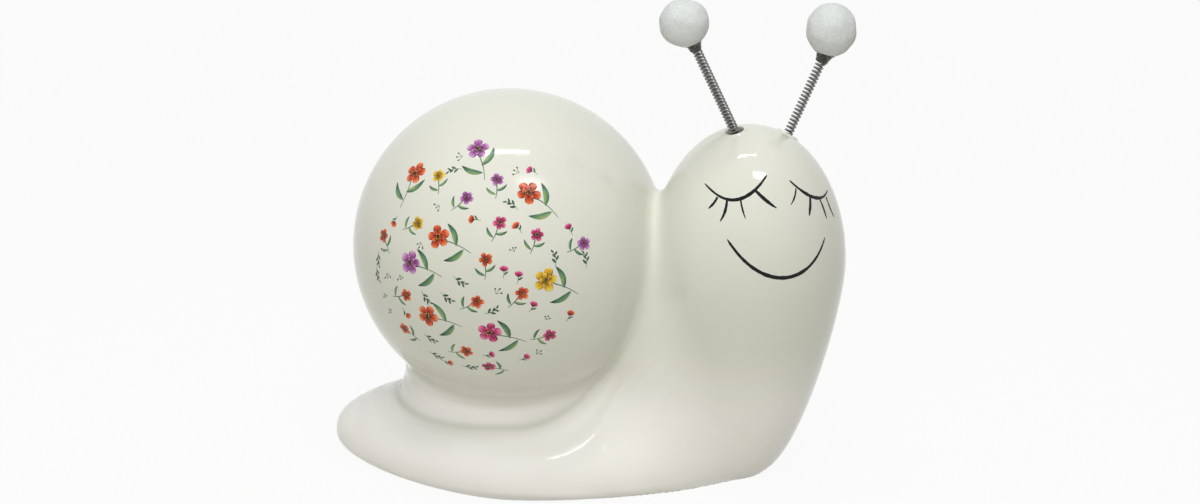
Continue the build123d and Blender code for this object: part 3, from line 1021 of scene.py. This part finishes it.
def opaque(rgb, factor=1.0):
    """A colour with full alpha, made lighter or darker by a factor."""
    return (*(min(part * factor, 1.0) for part in rgb), 1.0)


def finish_name(slot):
    """The name of the material made here for a slot, apart from the packed part's own."""
    return f"{slot}_finish"


def new_material(slot):
    """An empty material and its output node."""
    made = bpy.data.materials.new(finish_name(slot))
    made.use_nodes = True
    made.node_tree.nodes.clear()
    return made, made.node_tree, node(made.node_tree, "ShaderNodeOutputMaterial")


def shade(tree, output, inputs):
    """Ends a material in one Principled shader with the given inputs."""
    shader = node(tree, "ShaderNodeBsdfPrincipled", inputs)
    tree.links.new(shader.outputs[0], output.inputs["Surface"])


def new_group(name, inputs, outputs):
    """An empty shader node group with number sockets of the given names."""
    group = bpy.data.node_groups.new(name, "ShaderNodeTree")
    for socket, default in inputs.items():
        made = group.interface.new_socket(socket, in_out="INPUT", socket_type="NodeSocketFloat")
        made.default_value = default
    for socket in outputs:
        group.interface.new_socket(socket, in_out="OUTPUT", socket_type="NodeSocketFloat")
    return group, node(group, "NodeGroupInput"), node(group, "NodeGroupOutput")


def math_node(tree, operation, first, second=0.0):
    """The result of one sum."""
    return node(tree, "ShaderNodeMath", {0: first, 1: second}, operation=operation).outputs[0]


def scaled(tree, value, factor, more=0.0):
    """A value times a factor, plus more where it is given."""
    product = math_node(tree, "MULTIPLY", value, factor)
    return math_node(tree, "ADD", product, more) if more else product


def cloud(tree, scale, detail=2.0, roughness=0.5):
    """Soft noise over the object's own space, from 0 to 1."""
    place = node(tree, "ShaderNodeTexCoord").outputs["Object"]
    inputs = {"Vector": place, "Scale": scale, "Detail": detail, "Roughness": roughness}
    return node(tree, "ShaderNodeTexNoise", inputs).outputs["Fac"]


def cells(tree, scale, feature):
    """Distances in a pattern of irregular cells."""
    return node(tree, "ShaderNodeTexVoronoi", {"Scale": scale}, feature=feature).outputs["Distance"]


def bump(tree, strength, depth, height):
    """The normal of a surface with a fine relief."""
    inputs = {"Strength": strength, "Distance": depth, "Height": height}
    return node(tree, "ShaderNodeBump", inputs).outputs["Normal"]


def glaze_wave_group():
    """Slow waves and fine orange peel of a poured glaze, as heights for a bump."""
    group, given, result = new_group(
        "Glaze Wave", {"Wave Size": 60.0, "Peel Size": 900.0, "Peel": 0.15}, ["Height"]
    )
    slow = cloud(group, given.outputs["Wave Size"], detail=1.0)
    peel = scaled(group, cloud(group, given.outputs["Peel Size"]), given.outputs["Peel"])
    group.links.new(math_node(group, "ADD", slow, peel), result.inputs["Height"])
    return group


def wash_group():
    """Uneven strength of a painted colour: pigment grain and puddles round a given tone."""
    group, given, result = new_group(
        "Colour Wash",
        {
            "Tone": 0.5,
            "Puddle Size": 450.0,
            "Puddles": 0.35,
            "Grain Size": 2600.0,
            "Grain": 0.15,
        },
        ["Strength"],
    )
    total = given.outputs["Tone"]
    for name, size, detail in (("Puddles", "Puddle Size", 3.0), ("Grain", "Grain Size", 2.0)):
        patch = math_node(group, "SUBTRACT", cloud(group, given.outputs[size], detail), 0.5)
        total = math_node(group, "ADD", total, scaled(group, patch, given.outputs[name]))
    group.links.new(total, result.inputs["Strength"])
    return group


def shared_group(name):
    """A node group that more than one material uses, built at its first use."""
    builders = {"Glaze Wave": glaze_wave_group, "Colour Wash": wash_group}
    return bpy.data.node_groups.get(name) or builders[name]()


def group_node(tree, name, inputs=()):
    """A placed copy of a shared node group."""
    made = tree.nodes.new("ShaderNodeGroup")
    made.node_tree = shared_group(name)
    return fill(tree, made, inputs)


def point_value(tree, name):
    """A number stored at the mesh's points."""
    return node(tree, "ShaderNodeAttribute", attribute_name=name).outputs["Fac"]


def ramp(tree, strength, stops):
    """A colour from a strength, through colours at their places."""
    made = node(tree, "ShaderNodeValToRGB", {"Fac": strength})
    while len(made.color_ramp.elements) < len(stops):
        made.color_ramp.elements.new(0.5)
    for element, (place, value) in zip(made.color_ramp.elements, stops):
        element.position = place
        element.color = value
    return made.outputs["Color"]


def mix(tree, factor, first, second):
    """A colour between two colours."""
    colours = {"Factor": factor, 6: first, 7: second}
    return node(tree, "ShaderNodeMix", colours, data_type="RGBA").outputs[2]


def mottled(tree, strength, colour, dark, light):
    """A colour that varies with a strength between two factors of itself."""
    (low, low_factor), (high, high_factor) = dark, light
    stops = [(low, opaque(colour, low_factor)), (high, opaque(colour, high_factor))]
    return ramp(tree, strength, stops)


def glaze_bump(tree, finish, extra=None):
    """The normal of a poured glaze, with extra height where it is given."""
    height = group_node(tree, "Glaze Wave").outputs["Height"]
    if extra is not None:
        height = math_node(tree, "ADD", height, extra)
    return bump(tree, finish.glaze_waves, finish.glaze_relief, height)


def glaze_marks(tree, finish):
    """Heights of the cracked patch on the shell and of the ripples on the foot."""
    cracks_per_metre = 330.0
    groove_width = 0.1
    edges = cells(tree, cracks_per_metre, "DISTANCE_TO_EDGE")
    groove = math_node(tree, "MINIMUM", edges, groove_width)
    cracked = scaled(tree, scaled(tree, groove, finish.crazing), point_value(tree, "crazed"))
    run = scaled(tree, cloud(tree, 45.0, detail=1.0), finish.ripples)
    rippled = scaled(tree, point_value(tree, "ripple"), run)
    return math_node(tree, "ADD", cracked, rippled)


def glaze_material(colours, finish):
    """White glaze: greyer and greener where it lies thicker at random, and along the crease, where
    the darkening is partly pooled glaze and partly painted shade; lighter low on the foot as painted
    light; bare and matt under the foot.
    """
    made, tree, output = new_material("glaze")
    bare = point_value(tree, "bare")
    drift = cloud(tree, 22.0, detail=3.0)
    # Darkening along the crease: partly pooled glaze, partly painted shade
    pool = scaled(tree, point_value(tree, "pool"), finish.pooling_and_shade)
    thickness_and_shade = math_node(tree, "ADD", scaled(tree, drift, finish.glaze_drift), pool)
    # Painted light: the glaze turns to the lighter foot colour low on the foot
    low = point_value(tree, "low")
    poured = mix(tree, low, opaque(colours.glaze), opaque(colours.painted_lit_foot_glaze))
    glazed = mix(tree, thickness_and_shade, poured, opaque(colours.pooled_glaze_and_shade))
    pinholes = ramp(tree, cells(tree, 55.0, "F1"), [(0.018, WHITE), (0.026, BLACK)])
    speckled = mix(tree, pinholes, glazed, opaque(colours.biscuit, 0.35))
    rough = math_node(tree, "ADD", scaled(tree, bare, 0.6), scaled(tree, drift, 0.08))
    inputs = {
        "Base Color": mix(tree, bare, speckled, opaque(colours.biscuit)),
        "Roughness": math_node(tree, "ADD", rough, 0.04),
        "IOR": 1.52,
        "Normal": glaze_bump(tree, finish, glaze_marks(tree, finish)),
    }
    shade(tree, output, inputs)
    return made


def paint_material(slot, stops, gloss, finish):
    """Fired paint or transfer: a washed colour under about the same gloss as the glaze."""
    made, tree, output = new_material(slot)
    wash = group_node(tree, "Colour Wash", {"Tone": point_value(tree, "tone")})
    strength = wash.outputs["Strength"]
    inputs = {
        "Base Color": ramp(tree, strength, stops),
        "Roughness": scaled(tree, strength, 0.1, more=0.12),
        "Specular IOR Level": gloss,
        "Normal": glaze_bump(tree, finish),
    }
    shade(tree, output, inputs)
    return made


def transfer_material(slot, colours, finish):
    """A printed watercolour from its deepest wash to a thin, pale one."""
    name = slot.removeprefix("print_")
    full, light = getattr(colours, name), getattr(colours, f"{name}_light")
    pale = [0.7 * part + 0.3 * bare for part, bare in zip(light, colours.glaze)]
    stops = [
        (0.0, opaque(full, 0.15)),
        (0.2, opaque(full, 0.5)),
        (0.42, opaque(full)),
        (0.72, opaque(light)),
        (1.0, opaque(pale)),
    ]
    return paint_material(slot, stops, 0.3, finish)


def line_material(colours, finish):
    """The nearly black paint of the face."""
    stops = [(0.0, opaque(colours.line, 0.5)), (1.0, opaque(colours.line, 3.0))]
    return paint_material("face_paint", stops, 0.2, finish)


def wire_material(colours, finish):
    """Drawn steel wire, dull and streaked along its run."""
    made, tree, output = new_material("spring_wire")
    streak = cloud(tree, 1500.0)
    inputs = {
        "Base Color": mottled(tree, streak, colours.wire, (0.3, 0.7), (0.7, 1.25)),
        "Metallic": 1.0,
        "Roughness": scaled(tree, streak, 0.25, more=0.22),
    }
    shade(tree, output, inputs)
    return made


def ball_material(colours, finish):
    """Pressed white fibre: matt, with a fine pitted skin and a soft edge."""
    made, tree, output = new_material("soft_ball")
    pits = cloud(tree, 1400.0, detail=4.0, roughness=0.65)
    height = math_node(tree, "ADD", pits, scaled(tree, cloud(tree, 260.0), 0.8))
    inputs = {
        "Base Color": mottled(tree, pits, colours.ball, (0.25, 0.82), (0.65, 1.05)),
        "Roughness": 0.9,
        "Sheen Weight": 0.25,
        "Sheen Roughness": 0.6,
        "Normal": bump(tree, 0.5, finish.ball_relief, height),
    }
    shade(tree, output, inputs)
    return made


def glue_material(colours, finish):
    """Set glue: dark in its body, wet at its skin, with bubbles."""
    made, tree, output = new_material("glue")
    bubbles = cells(tree, 1300.0, "SMOOTH_F1")
    inputs = {
        "Base Color": mottled(tree, cloud(tree, 900.0), colours.glue, (0.3, 0.45), (0.7, 1.6)),
        "Roughness": 0.12,
        "Coat Weight": 0.3,
        "Normal": bump(tree, 0.8, finish.glue_relief, bubbles),
    }
    shade(tree, output, inputs)
    return made


def material_for(slot):
    """The material of a slot, built at its first use."""
    ready = bpy.data.materials.get(finish_name(slot))
    if ready:
        return ready
    colours = bpy.context.scene.snail_colours
    finish = bpy.context.scene.snail_finish
    builders = {
        "glaze": glaze_material,
        "face_paint": line_material,
        "spring_wire": wire_material,
        "soft_ball": ball_material,
        "glue": glue_material,
    }
    if slot in builders:
        return builders[slot](colours, finish)
    return transfer_material(slot, colours, finish)


# Stage


def view_axes(view):
    """Directions from the snail to the camera, to its right and up."""
    back = Vector(
        (
            math.sin(view.azimuth) * math.cos(view.elevation),
            -math.cos(view.azimuth) * math.cos(view.elevation),
            math.sin(view.elevation),
        )
    )
    side = Vector((math.cos(view.azimuth), math.sin(view.azimuth), 0))
    return back, side, back.cross(side)


def lamp(name, power, size, way, distance, target, side, seen_in_gloss):
    """Makes a rectangular lamp that faces a target, with its long edge along a side direction."""
    data = bpy.data.lights.new(name, "AREA")
    data.shape = "RECTANGLE"
    data.size, data.size_y = size
    data.energy = power
    made = bpy.data.objects.new(name, data)
    bpy.context.scene.collection.objects.link(made)
    front = way.normalized()
    upward = front.cross(side).normalized()
    turn = Matrix((upward.cross(front), upward, front)).transposed()
    made.matrix_world = Matrix.Translation(target + front * distance) @ turn.to_4x4()
    made.visible_glossy = seen_in_gloss


def seen_white(tree):
    """1 for rays from the camera, or by way of gloss or glass, and 0 for light on the object."""
    path = node(tree, "ShaderNodeLightPath")
    seen = math_node(
        tree, "MAXIMUM", path.outputs["Is Camera Ray"], path.outputs["Is Glossy Ray"]
    )
    return math_node(tree, "MAXIMUM", seen, path.outputs["Is Transmission Ray"])


def set_camera(scene, view, target):
    """Makes the scene's camera, which looks past the target by its shifts."""
    back, _, _ = view_axes(view)
    camera = bpy.data.objects.new("camera", bpy.data.cameras.new("camera"))
    scene.collection.objects.link(camera)
    camera.data.lens = view.lens
    camera.data.shift_x = view.shift_x
    camera.data.shift_y = view.shift_y
    camera.location = target + back * view.distance
    camera.rotation_euler = (-back).to_track_quat("-Z", "Y").to_euler()
    scene.camera = camera


def set_background(scene, view, colours):
    """Makes a world that is white to the camera and a soft light to the object."""
    world = bpy.data.worlds.new("studio")
    world.use_nodes = True
    tree = world.node_tree
    tree.nodes.clear()
    white = seen_white(tree)
    soft = scaled(tree, math_node(tree, "SUBTRACT", 1.0, white), view.ambient)
    strength = math_node(tree, "ADD", soft, white)
    inputs = {"Color": opaque(colours.background), "Strength": strength}
    light = node(tree, "ShaderNodeBackground", inputs)
    output = node(tree, "ShaderNodeOutputWorld")
    tree.links.new(light.outputs[0], output.inputs["Surface"])
    scene.world = world


def lay_floor(view, colours):
    """Makes a floor that looks white and keeps the object's shadow."""
    material, tree, output = new_material("floor")
    white = seen_white(tree)
    pale = mix(tree, cloud(tree, 3.0), opaque(colours.floor), opaque(colours.floor, 0.98))
    matt = node(tree, "ShaderNodeBsdfDiffuse", {"Color": pale})
    inputs = {"Color": opaque(colours.background), "Strength": 1.0}
    glow = node(tree, "ShaderNodeEmission", inputs)
    sockets = {0: scaled(tree, white, view.floor_glow), 1: matt.outputs[0], 2: glow.outputs[0]}
    blend = node(tree, "ShaderNodeMixShader", sockets)
    tree.links.new(blend.outputs[0], output.inputs["Surface"])
    half = view.distance * view.floor_reach
    corners = np.array([(-half, -half, 0), (half, -half, 0), (half, half, 0), (-half, half, 0)])
    mesh_object("floor", corners, [(0, 1, 2, 3)], material)


def hang_lamps(view, target):
    """Hangs two lamps that show in the glaze, and two soft ones that don't."""
    back, side, up = view_axes(view)
    near = view.distance * view.lamp_reach
    far = view.distance * view.key_reach
    for name, key, reach, glossy in (
        ("overhead_strip", "strip", near, True),
        ("window", "window", near, True),
        ("soft_key", "key", far, False),
        ("soft_top", "top", near, False),
    ):
        across, upward, inward = getattr(view, f"{key}_way")
        way = Vector((across, upward, inward))
        if glossy:
            way = side * across + up * upward + back * inward
        size = getattr(view, f"{key}_size")
        lamp(name, getattr(view, key), size, way, reach, target, side, glossy)


# Operators


def place_piece(piece, slot, body, *nodes):
    """Ties a piece to its body and hides the packed nodes that it stands for. The slot is not used.
    """
    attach(piece, body)
    if nodes:
        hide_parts(*nodes)


def body_attributes(points, form):
    """Numbers at the body's points that steer its glaze."""
    z = points[:, 2]
    _, apart = whole_form(points, form)
    bare = np.clip(1 - z / (form.foot_belt * form.bare_share), 0, 1)
    # Pooled glaze and painted shade: a darker, greener line along the crease under the shell, fading
    # out up the valley
    rise = np.clip((z - form.valley_start) / form.valley_end, 0, 1)
    pool = np.exp(-((apart / form.seam_width) ** 2)) * (1 - rise)
    # Painted light: the glaze is made lighter low on the foot, away from the shell, for the light
    # that falls there; the same mask places the ripples
    low = np.clip((form.painted_light_top - z) / (form.painted_light_top - form.foot_height), 0, 1)
    patch = shell_centre(form) + form.shell_radius * facing(form.crazed_turn, form.crazed_rise)
    crazed = np.exp(-((np.linalg.norm(points - patch, axis=1) / form.crazed_radius) ** 4))
    off_shell = np.linalg.norm(points - shell_centre(form), axis=1) - form.shell_radius
    white = low**2 * (3 - 2 * low) * np.clip(off_shell / form.foot_belt, 0, 1)
    fade = np.clip(form.ripple_ease - apart / (form.ripple_pitch * form.ripple_count), 0, 1)
    ripple = (1 - np.cos(2 * math.pi * apart / form.ripple_pitch)) / 2 * white * fade
    return {"pool": pool, "bare": bare, "low": white, "crazed": crazed, "ripple": ripple}


class SNAIL_OT_cast_body(Operator):
    """Makes the glazed body with its holes"""

    bl_idname = "snail.cast_body"
    bl_label = "Cast Body"

    def execute(self, context):
        form = context.scene.snail_form
        distance = snail_distance(form)
        step = form.facet * 1
        points, quads = net(distance, casting_low, casting_high, step)
        points = even_out(distance, points, unique_edges(quads), form.first_rounds)
        mesh = bpy.data.meshes.new("ceramic_body")
        mesh.from_pydata(points.tolist(), [], quads.tolist())
        refine_holes(mesh, form)
        points, edges = mesh_arrays(mesh)
        near = near_holes(points, form)
        points = even_out(distance, points, edges, form.last_rounds, near)
        points, outward = settle(distance, points, 1)
        mesh.vertices.foreach_set("co", points.astype(np.float32).ravel())
        store(mesh, body_attributes(points, form))
        body = new_object("glazed_body", mesh, material_for("glaze"))
        mesh.normals_split_custom_set_from_vertices(outward.tolist())
        place_piece(body, "glaze", BODY, "ceramic_snail")
        return {"FINISHED"}


class SNAIL_OT_paint_face(Operator):
    """Paints the closed eyes, their lashes and the smile"""

    bl_idname = "snail.paint_face"
    bl_label = "Paint Face"

    def execute(self, context):
        form = context.scene.snail_form
        drawing = context.scene.snail_drawing
        distance = snail_distance(form)
        place = face_place(form, drawing)
        paint = material_for("face_paint")
        for hand in HANDS:
            lid = Sheaf()
            brush_line(lid, place, LIDS[hand], drawing.lid_width, LID_ENDS, drawing.skin)
            lashes = Sheaf()
            for start, end, bend, weight in LASHES[hand]:
                controls = pulled(start, end, bend)
                width = drawing.lash_width * weight
                brush_line(lashes, place, controls, width, LASH_ENDS, drawing.skin)
            lid_line = lid.build(f"{hand}_lid_line", paint, distance)
            lash_lines = lashes.build(f"{hand}_lash_lines", paint, distance)
            place_piece(lid_line, "face_paint", BODY, f"{hand}_eyelid")
            place_piece(lash_lines, "face_paint", BODY, f"{hand}_lashes")
        smile = Sheaf()
        brush_line(smile, place, SMILE, drawing.smile_width, SMILE_ENDS, drawing.skin)
        place_piece(smile.build("smile_line", paint, distance), "face_paint", BODY, "smile")
        return {"FINISHED"}


class SNAIL_OT_lay_print(Operator):
    """Lays the floral transfer on the shell"""

    bl_idname = "snail.lay_print"
    bl_label = "Lay Print"

    def execute(self, context):
        form = context.scene.snail_form
        drawing = context.scene.snail_drawing
        distance = snail_distance(form)
        chance = random.Random(drawing.print_seed)
        petals = {name: Sheaf() for name in dict.fromkeys(PRINT_ORDER)}
        leaves = Sheaf()
        stamens = Sheaf()
        skin = drawing.skin * 0.7
        stem_width = drawing.skin * 2
        taken = []
        for index in range(drawing.print_count):
            place = motif_place(form, drawing, index)
            painter = Painter(place, skin, chance)
            large = index % 3 == 1
            name = PRINT_ORDER[(index // 3 if large else index) % len(PRINT_ORDER)]
            radius = drawing.blossom_radius if large else drawing.small_blossom_radius
            stem = drawing.stem_length if large else drawing.stem_length / 2
            reach = drawing.leaf_length if large else drawing.small_leaf_length
            middle = stem / 2 if large else radius
            top = middle - radius
            first, second = LARGE_LEAF_TURNS if large else SMALL_LEAF_TURNS
            hidden = radius * 0.3
            painter.stem(leaves, top + hidden, stem + hidden, stem_width)
            width = reach * 0.12
            painter.leaf(leaves, (0, top - stem / 3), first, reach, width, bow=-width)
            painter.leaf(leaves, (0, top - stem * 2 / 3), second, reach, width, bow=width)
            painter.blossom(petals[name], stamens, (0, middle), radius, 2 if large else 1)
            taken.append((place(np.array((0, middle))), radius))
            taken.append((place(np.array((0, top - stem / 2))), reach * 0.8))
        for index, place in enumerate(free_places(form, drawing, taken)):
            painter = Painter(place, skin, chance)
            if index % 3 == 0:
                painter.twig(leaves, drawing.filler_radius * 2, stem_width)
            elif index % 3 == 1:
                name = "pink" if index % 2 else "red"
                painter.bud(petals[name], leaves, drawing.filler_radius * 0.8, stem_width)
            else:
                painter.specks(leaves, drawing.filler_radius, stem_width)
        for name, sheaf in petals.items():
            slot = f"print_{name}"
            blossoms = sheaf.build(f"{name}_blossoms", material_for(slot), distance)
            place_piece(blossoms, slot, BODY, slot)
        sprigs = leaves.build("leaf_sprigs", material_for("print_green"), distance)
        place_piece(sprigs, "print_green", BODY, "print_leaves")
        dots = stamens.build("blossom_stamens", material_for("print_yellow"), distance)
        place_piece(dots, "print_yellow", BODY)
        return {"FINISHED"}


class SNAIL_OT_wind_springs(Operator):
    """Winds the two antenna springs, each in two pieces"""

    bl_idname = "snail.wind_springs"
    bl_label = "Wind Springs"

    def execute(self, context):
        form = context.scene.snail_form
        sizes = context.scene.snail_antennae
        steel = material_for("spring_wire")
        for hand in HANDS:
            mouth, way, free_length = antenna_line(hand)
            split = free_length * SWAY_SHARE * 2
            bend_end = free_length * (2 * NOD_SHARE) - split
            foot_end = -form.hole_depth * sizes.spring_seat
            ball_end = free_length + sizes.ball_radius * sizes.spring_entry
            bodies = (BODY, f"{hand}_antenna", f"{hand}_tip")
            bends = (0, split, bend_end)
            wires = (foot_end, split, ball_end)
            for index, part in enumerate(("lower", "upper")):
                coil = Sheaf()
                coil.add(wound_wire(hand, sizes, *wires[index : index + 2]))
                piece = coil.build(f"{hand}_spring_{part}", steel)
                start, end = (mouth + way * bend for bend in bends[index : index + 2])
                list(bodies[index : index + 2])
                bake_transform(piece)
                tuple(start)
                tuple(end)
                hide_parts(f"{hand}_antenna_spring")
        return {"FINISHED"}


class SNAIL_OT_set_balls(Operator):
    """Shapes the two soft balls, each a little uneven in its own way"""

    bl_idname = "snail.set_balls"
    bl_label = "Set Balls"

    def execute(self, context):
        sizes = context.scene.snail_antennae
        fibre = material_for("soft_ball")
        for hand, (girth, top, bottom, squareness, aside) in BALLS.items():
            low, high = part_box(f"{hand}_ball")
            centre = np.array((low + high) / 2) + np.array((aside, 0, 0))
            pole = 0.04
            level = np.cos(np.linspace(pole, math.pi - pole, BALL_RINGS))
            radii = sizes.ball_radius * girth * np.sqrt(1 - np.abs(level) ** squareness)
            along = sizes.ball_radius * np.where(level > 0, top, bottom) * level
            upright = (np.array((1, 0, 0)), np.array((0, 1, 0)), np.array((0, 0, 1)))
            rings = turned_rings(centre, upright, list(zip(radii, along)), BALL_SIDES)
            for share_of_dimple, waves_per_metre in ((1.6, 260), (0.5, 900)):
                amount = sizes.dimple * share_of_dimple
                rings = roughened(rings, centre, amount, waves_per_metre)
            ball = Sheaf()
            ball.add(rings[::-1])
            piece = ball.build(f"{hand}_soft_ball", fibre)
            place_piece(piece, "soft_ball", f"{hand}_tip", f"{hand}_ball")
        return {"FINISHED"}


class SNAIL_OT_set_glue(Operator):
    """Shapes the glue in the holes of the crown and under the balls"""

    bl_idname = "snail.set_glue"
    bl_label = "Set Glue"

    def execute(self, context):
        form = context.scene.snail_form
        sizes = context.scene.snail_antennae
        glue = material_for("glue")
        for hand in HANDS:
            mouth, way, free_length = antenna_line(hand)
            tip, bell = sizes.collar_tip, sizes.collar_radius
            collar = [
                (tip * 0.86, -1),
                (tip, -0.9),
                (tip * 1.05, -0.65),
                (bell * 0.82, -0.3),
                (bell * 0.97, 0),
                (bell * 1.05, 0.22),
                (bell * 0.9, 0.45),
            ]
            hole, coil = form.hole_radius, sizes.coil
            puddle = [
                (hole * 1.02, -0.6),
                (hole * 1.02, -0.32),
                (hole * 0.85, -0.26),
                (coil * 0.6, -0.2),
                (coil * 0.53, -0.1),
                (coil * 0.3, -0.06),
            ]
            collar_shape = (collar, sizes.collar_length, 5, 0.55, 900)
            puddle_shape = (puddle, form.hole_depth, 4, 0.5, 1100)
            base = mouth + way * free_length
            collar_names = ("ball_collar", f"{hand}_tip", "ball_glue")
            puddle_names = ("socket_fill", BODY, "socket_glue")
            for centre, shape, (name, body, node_name) in (
                (base, collar_shape, collar_names),
                (mouth, puddle_shape, puddle_names),
            ):
                turned, depth, parts, roughness, waves_per_metre = shape
                profile = smooth_profile(np.array(turned) * (1, depth), parts)
                rings = turned_rings(centre, antenna_axes(hand), profile, GLUE_SIDES)
                rings = roughened(rings, centre, sizes.wire * roughness, waves_per_metre)
                lump = Sheaf()
                lump.add(rings)
                piece = lump.build(f"{hand}_{name}", glue)
                place_piece(piece, "glue", body, f"{hand}_{node_name}")
        return {"FINISHED"}


class SNAIL_OT_set_stage(Operator):
    """Sets the camera, the lamps, the white background and the floor"""

    bl_idname = "snail.set_stage"
    bl_label = "Set Stage"

    def execute(self, context):
        scene = context.scene
        view = scene.snail_view
        target = Vector(shell_centre(scene.snail_form))
        set_camera(scene, view, target)
        set_background(scene, view, scene.snail_colours)
        lay_floor(view, scene.snail_colours)
        hang_lamps(view, target)
        scene.view_settings.view_transform = "Standard"
        return {"FINISHED"}


class SNAIL_PT_panel(Panel):
    """Lists the snail's sizes, colours and steps"""

    bl_label = "Snail Ornament"
    bl_idname = "SNAIL_PT_panel"
    bl_space_type = "VIEW_3D"
    bl_region_type = "UI"
    bl_category = "Snail"

    def draw(self, context):
        layout = self.layout
        for step in STEPS:
            layout.operator(step.bl_idname)
        for name, group in SETTINGS.items():
            column = layout.box().column()
            column.label(text=group.__doc__)
            for field in group.__annotations__:
                column.prop(getattr(context.scene, name), field)


SETTINGS = {
    "snail_form": SnailForm,
    "snail_drawing": SnailDrawing,
    "snail_antennae": SnailAntennae,
    "snail_finish": SnailFinish,
    "snail_colours": SnailColours,
    "snail_view": SnailView,
}
STEPS = (
    SNAIL_OT_set_stage,
    SNAIL_OT_cast_body,
    SNAIL_OT_paint_face,
    SNAIL_OT_lay_print,
    SNAIL_OT_wind_springs,
    SNAIL_OT_set_balls,
    SNAIL_OT_set_glue,
)


def register():
    for made in (*SETTINGS.values(), *STEPS, SNAIL_PT_panel):
        bpy.utils.register_class(made)
    for name, group in SETTINGS.items():
        setattr(bpy.types.Scene, name, PointerProperty(type=group))


def unregister():
    for name in SETTINGS:
        delattr(bpy.types.Scene, name)
    for made in reversed((*SETTINGS.values(), *STEPS, SNAIL_PT_panel)):
        bpy.utils.unregister_class(made)


def main():
    """Builds the whole scene round the packed part."""
    register()
    bpy.ops.snail.set_stage()
    bpy.ops.snail.cast_body()
    bpy.ops.snail.paint_face()
    bpy.ops.snail.lay_print()
    bpy.ops.snail.wind_springs()
    bpy.ops.snail.set_balls()
    bpy.ops.snail.set_glue()


if __name__ == "__main__":
    main()
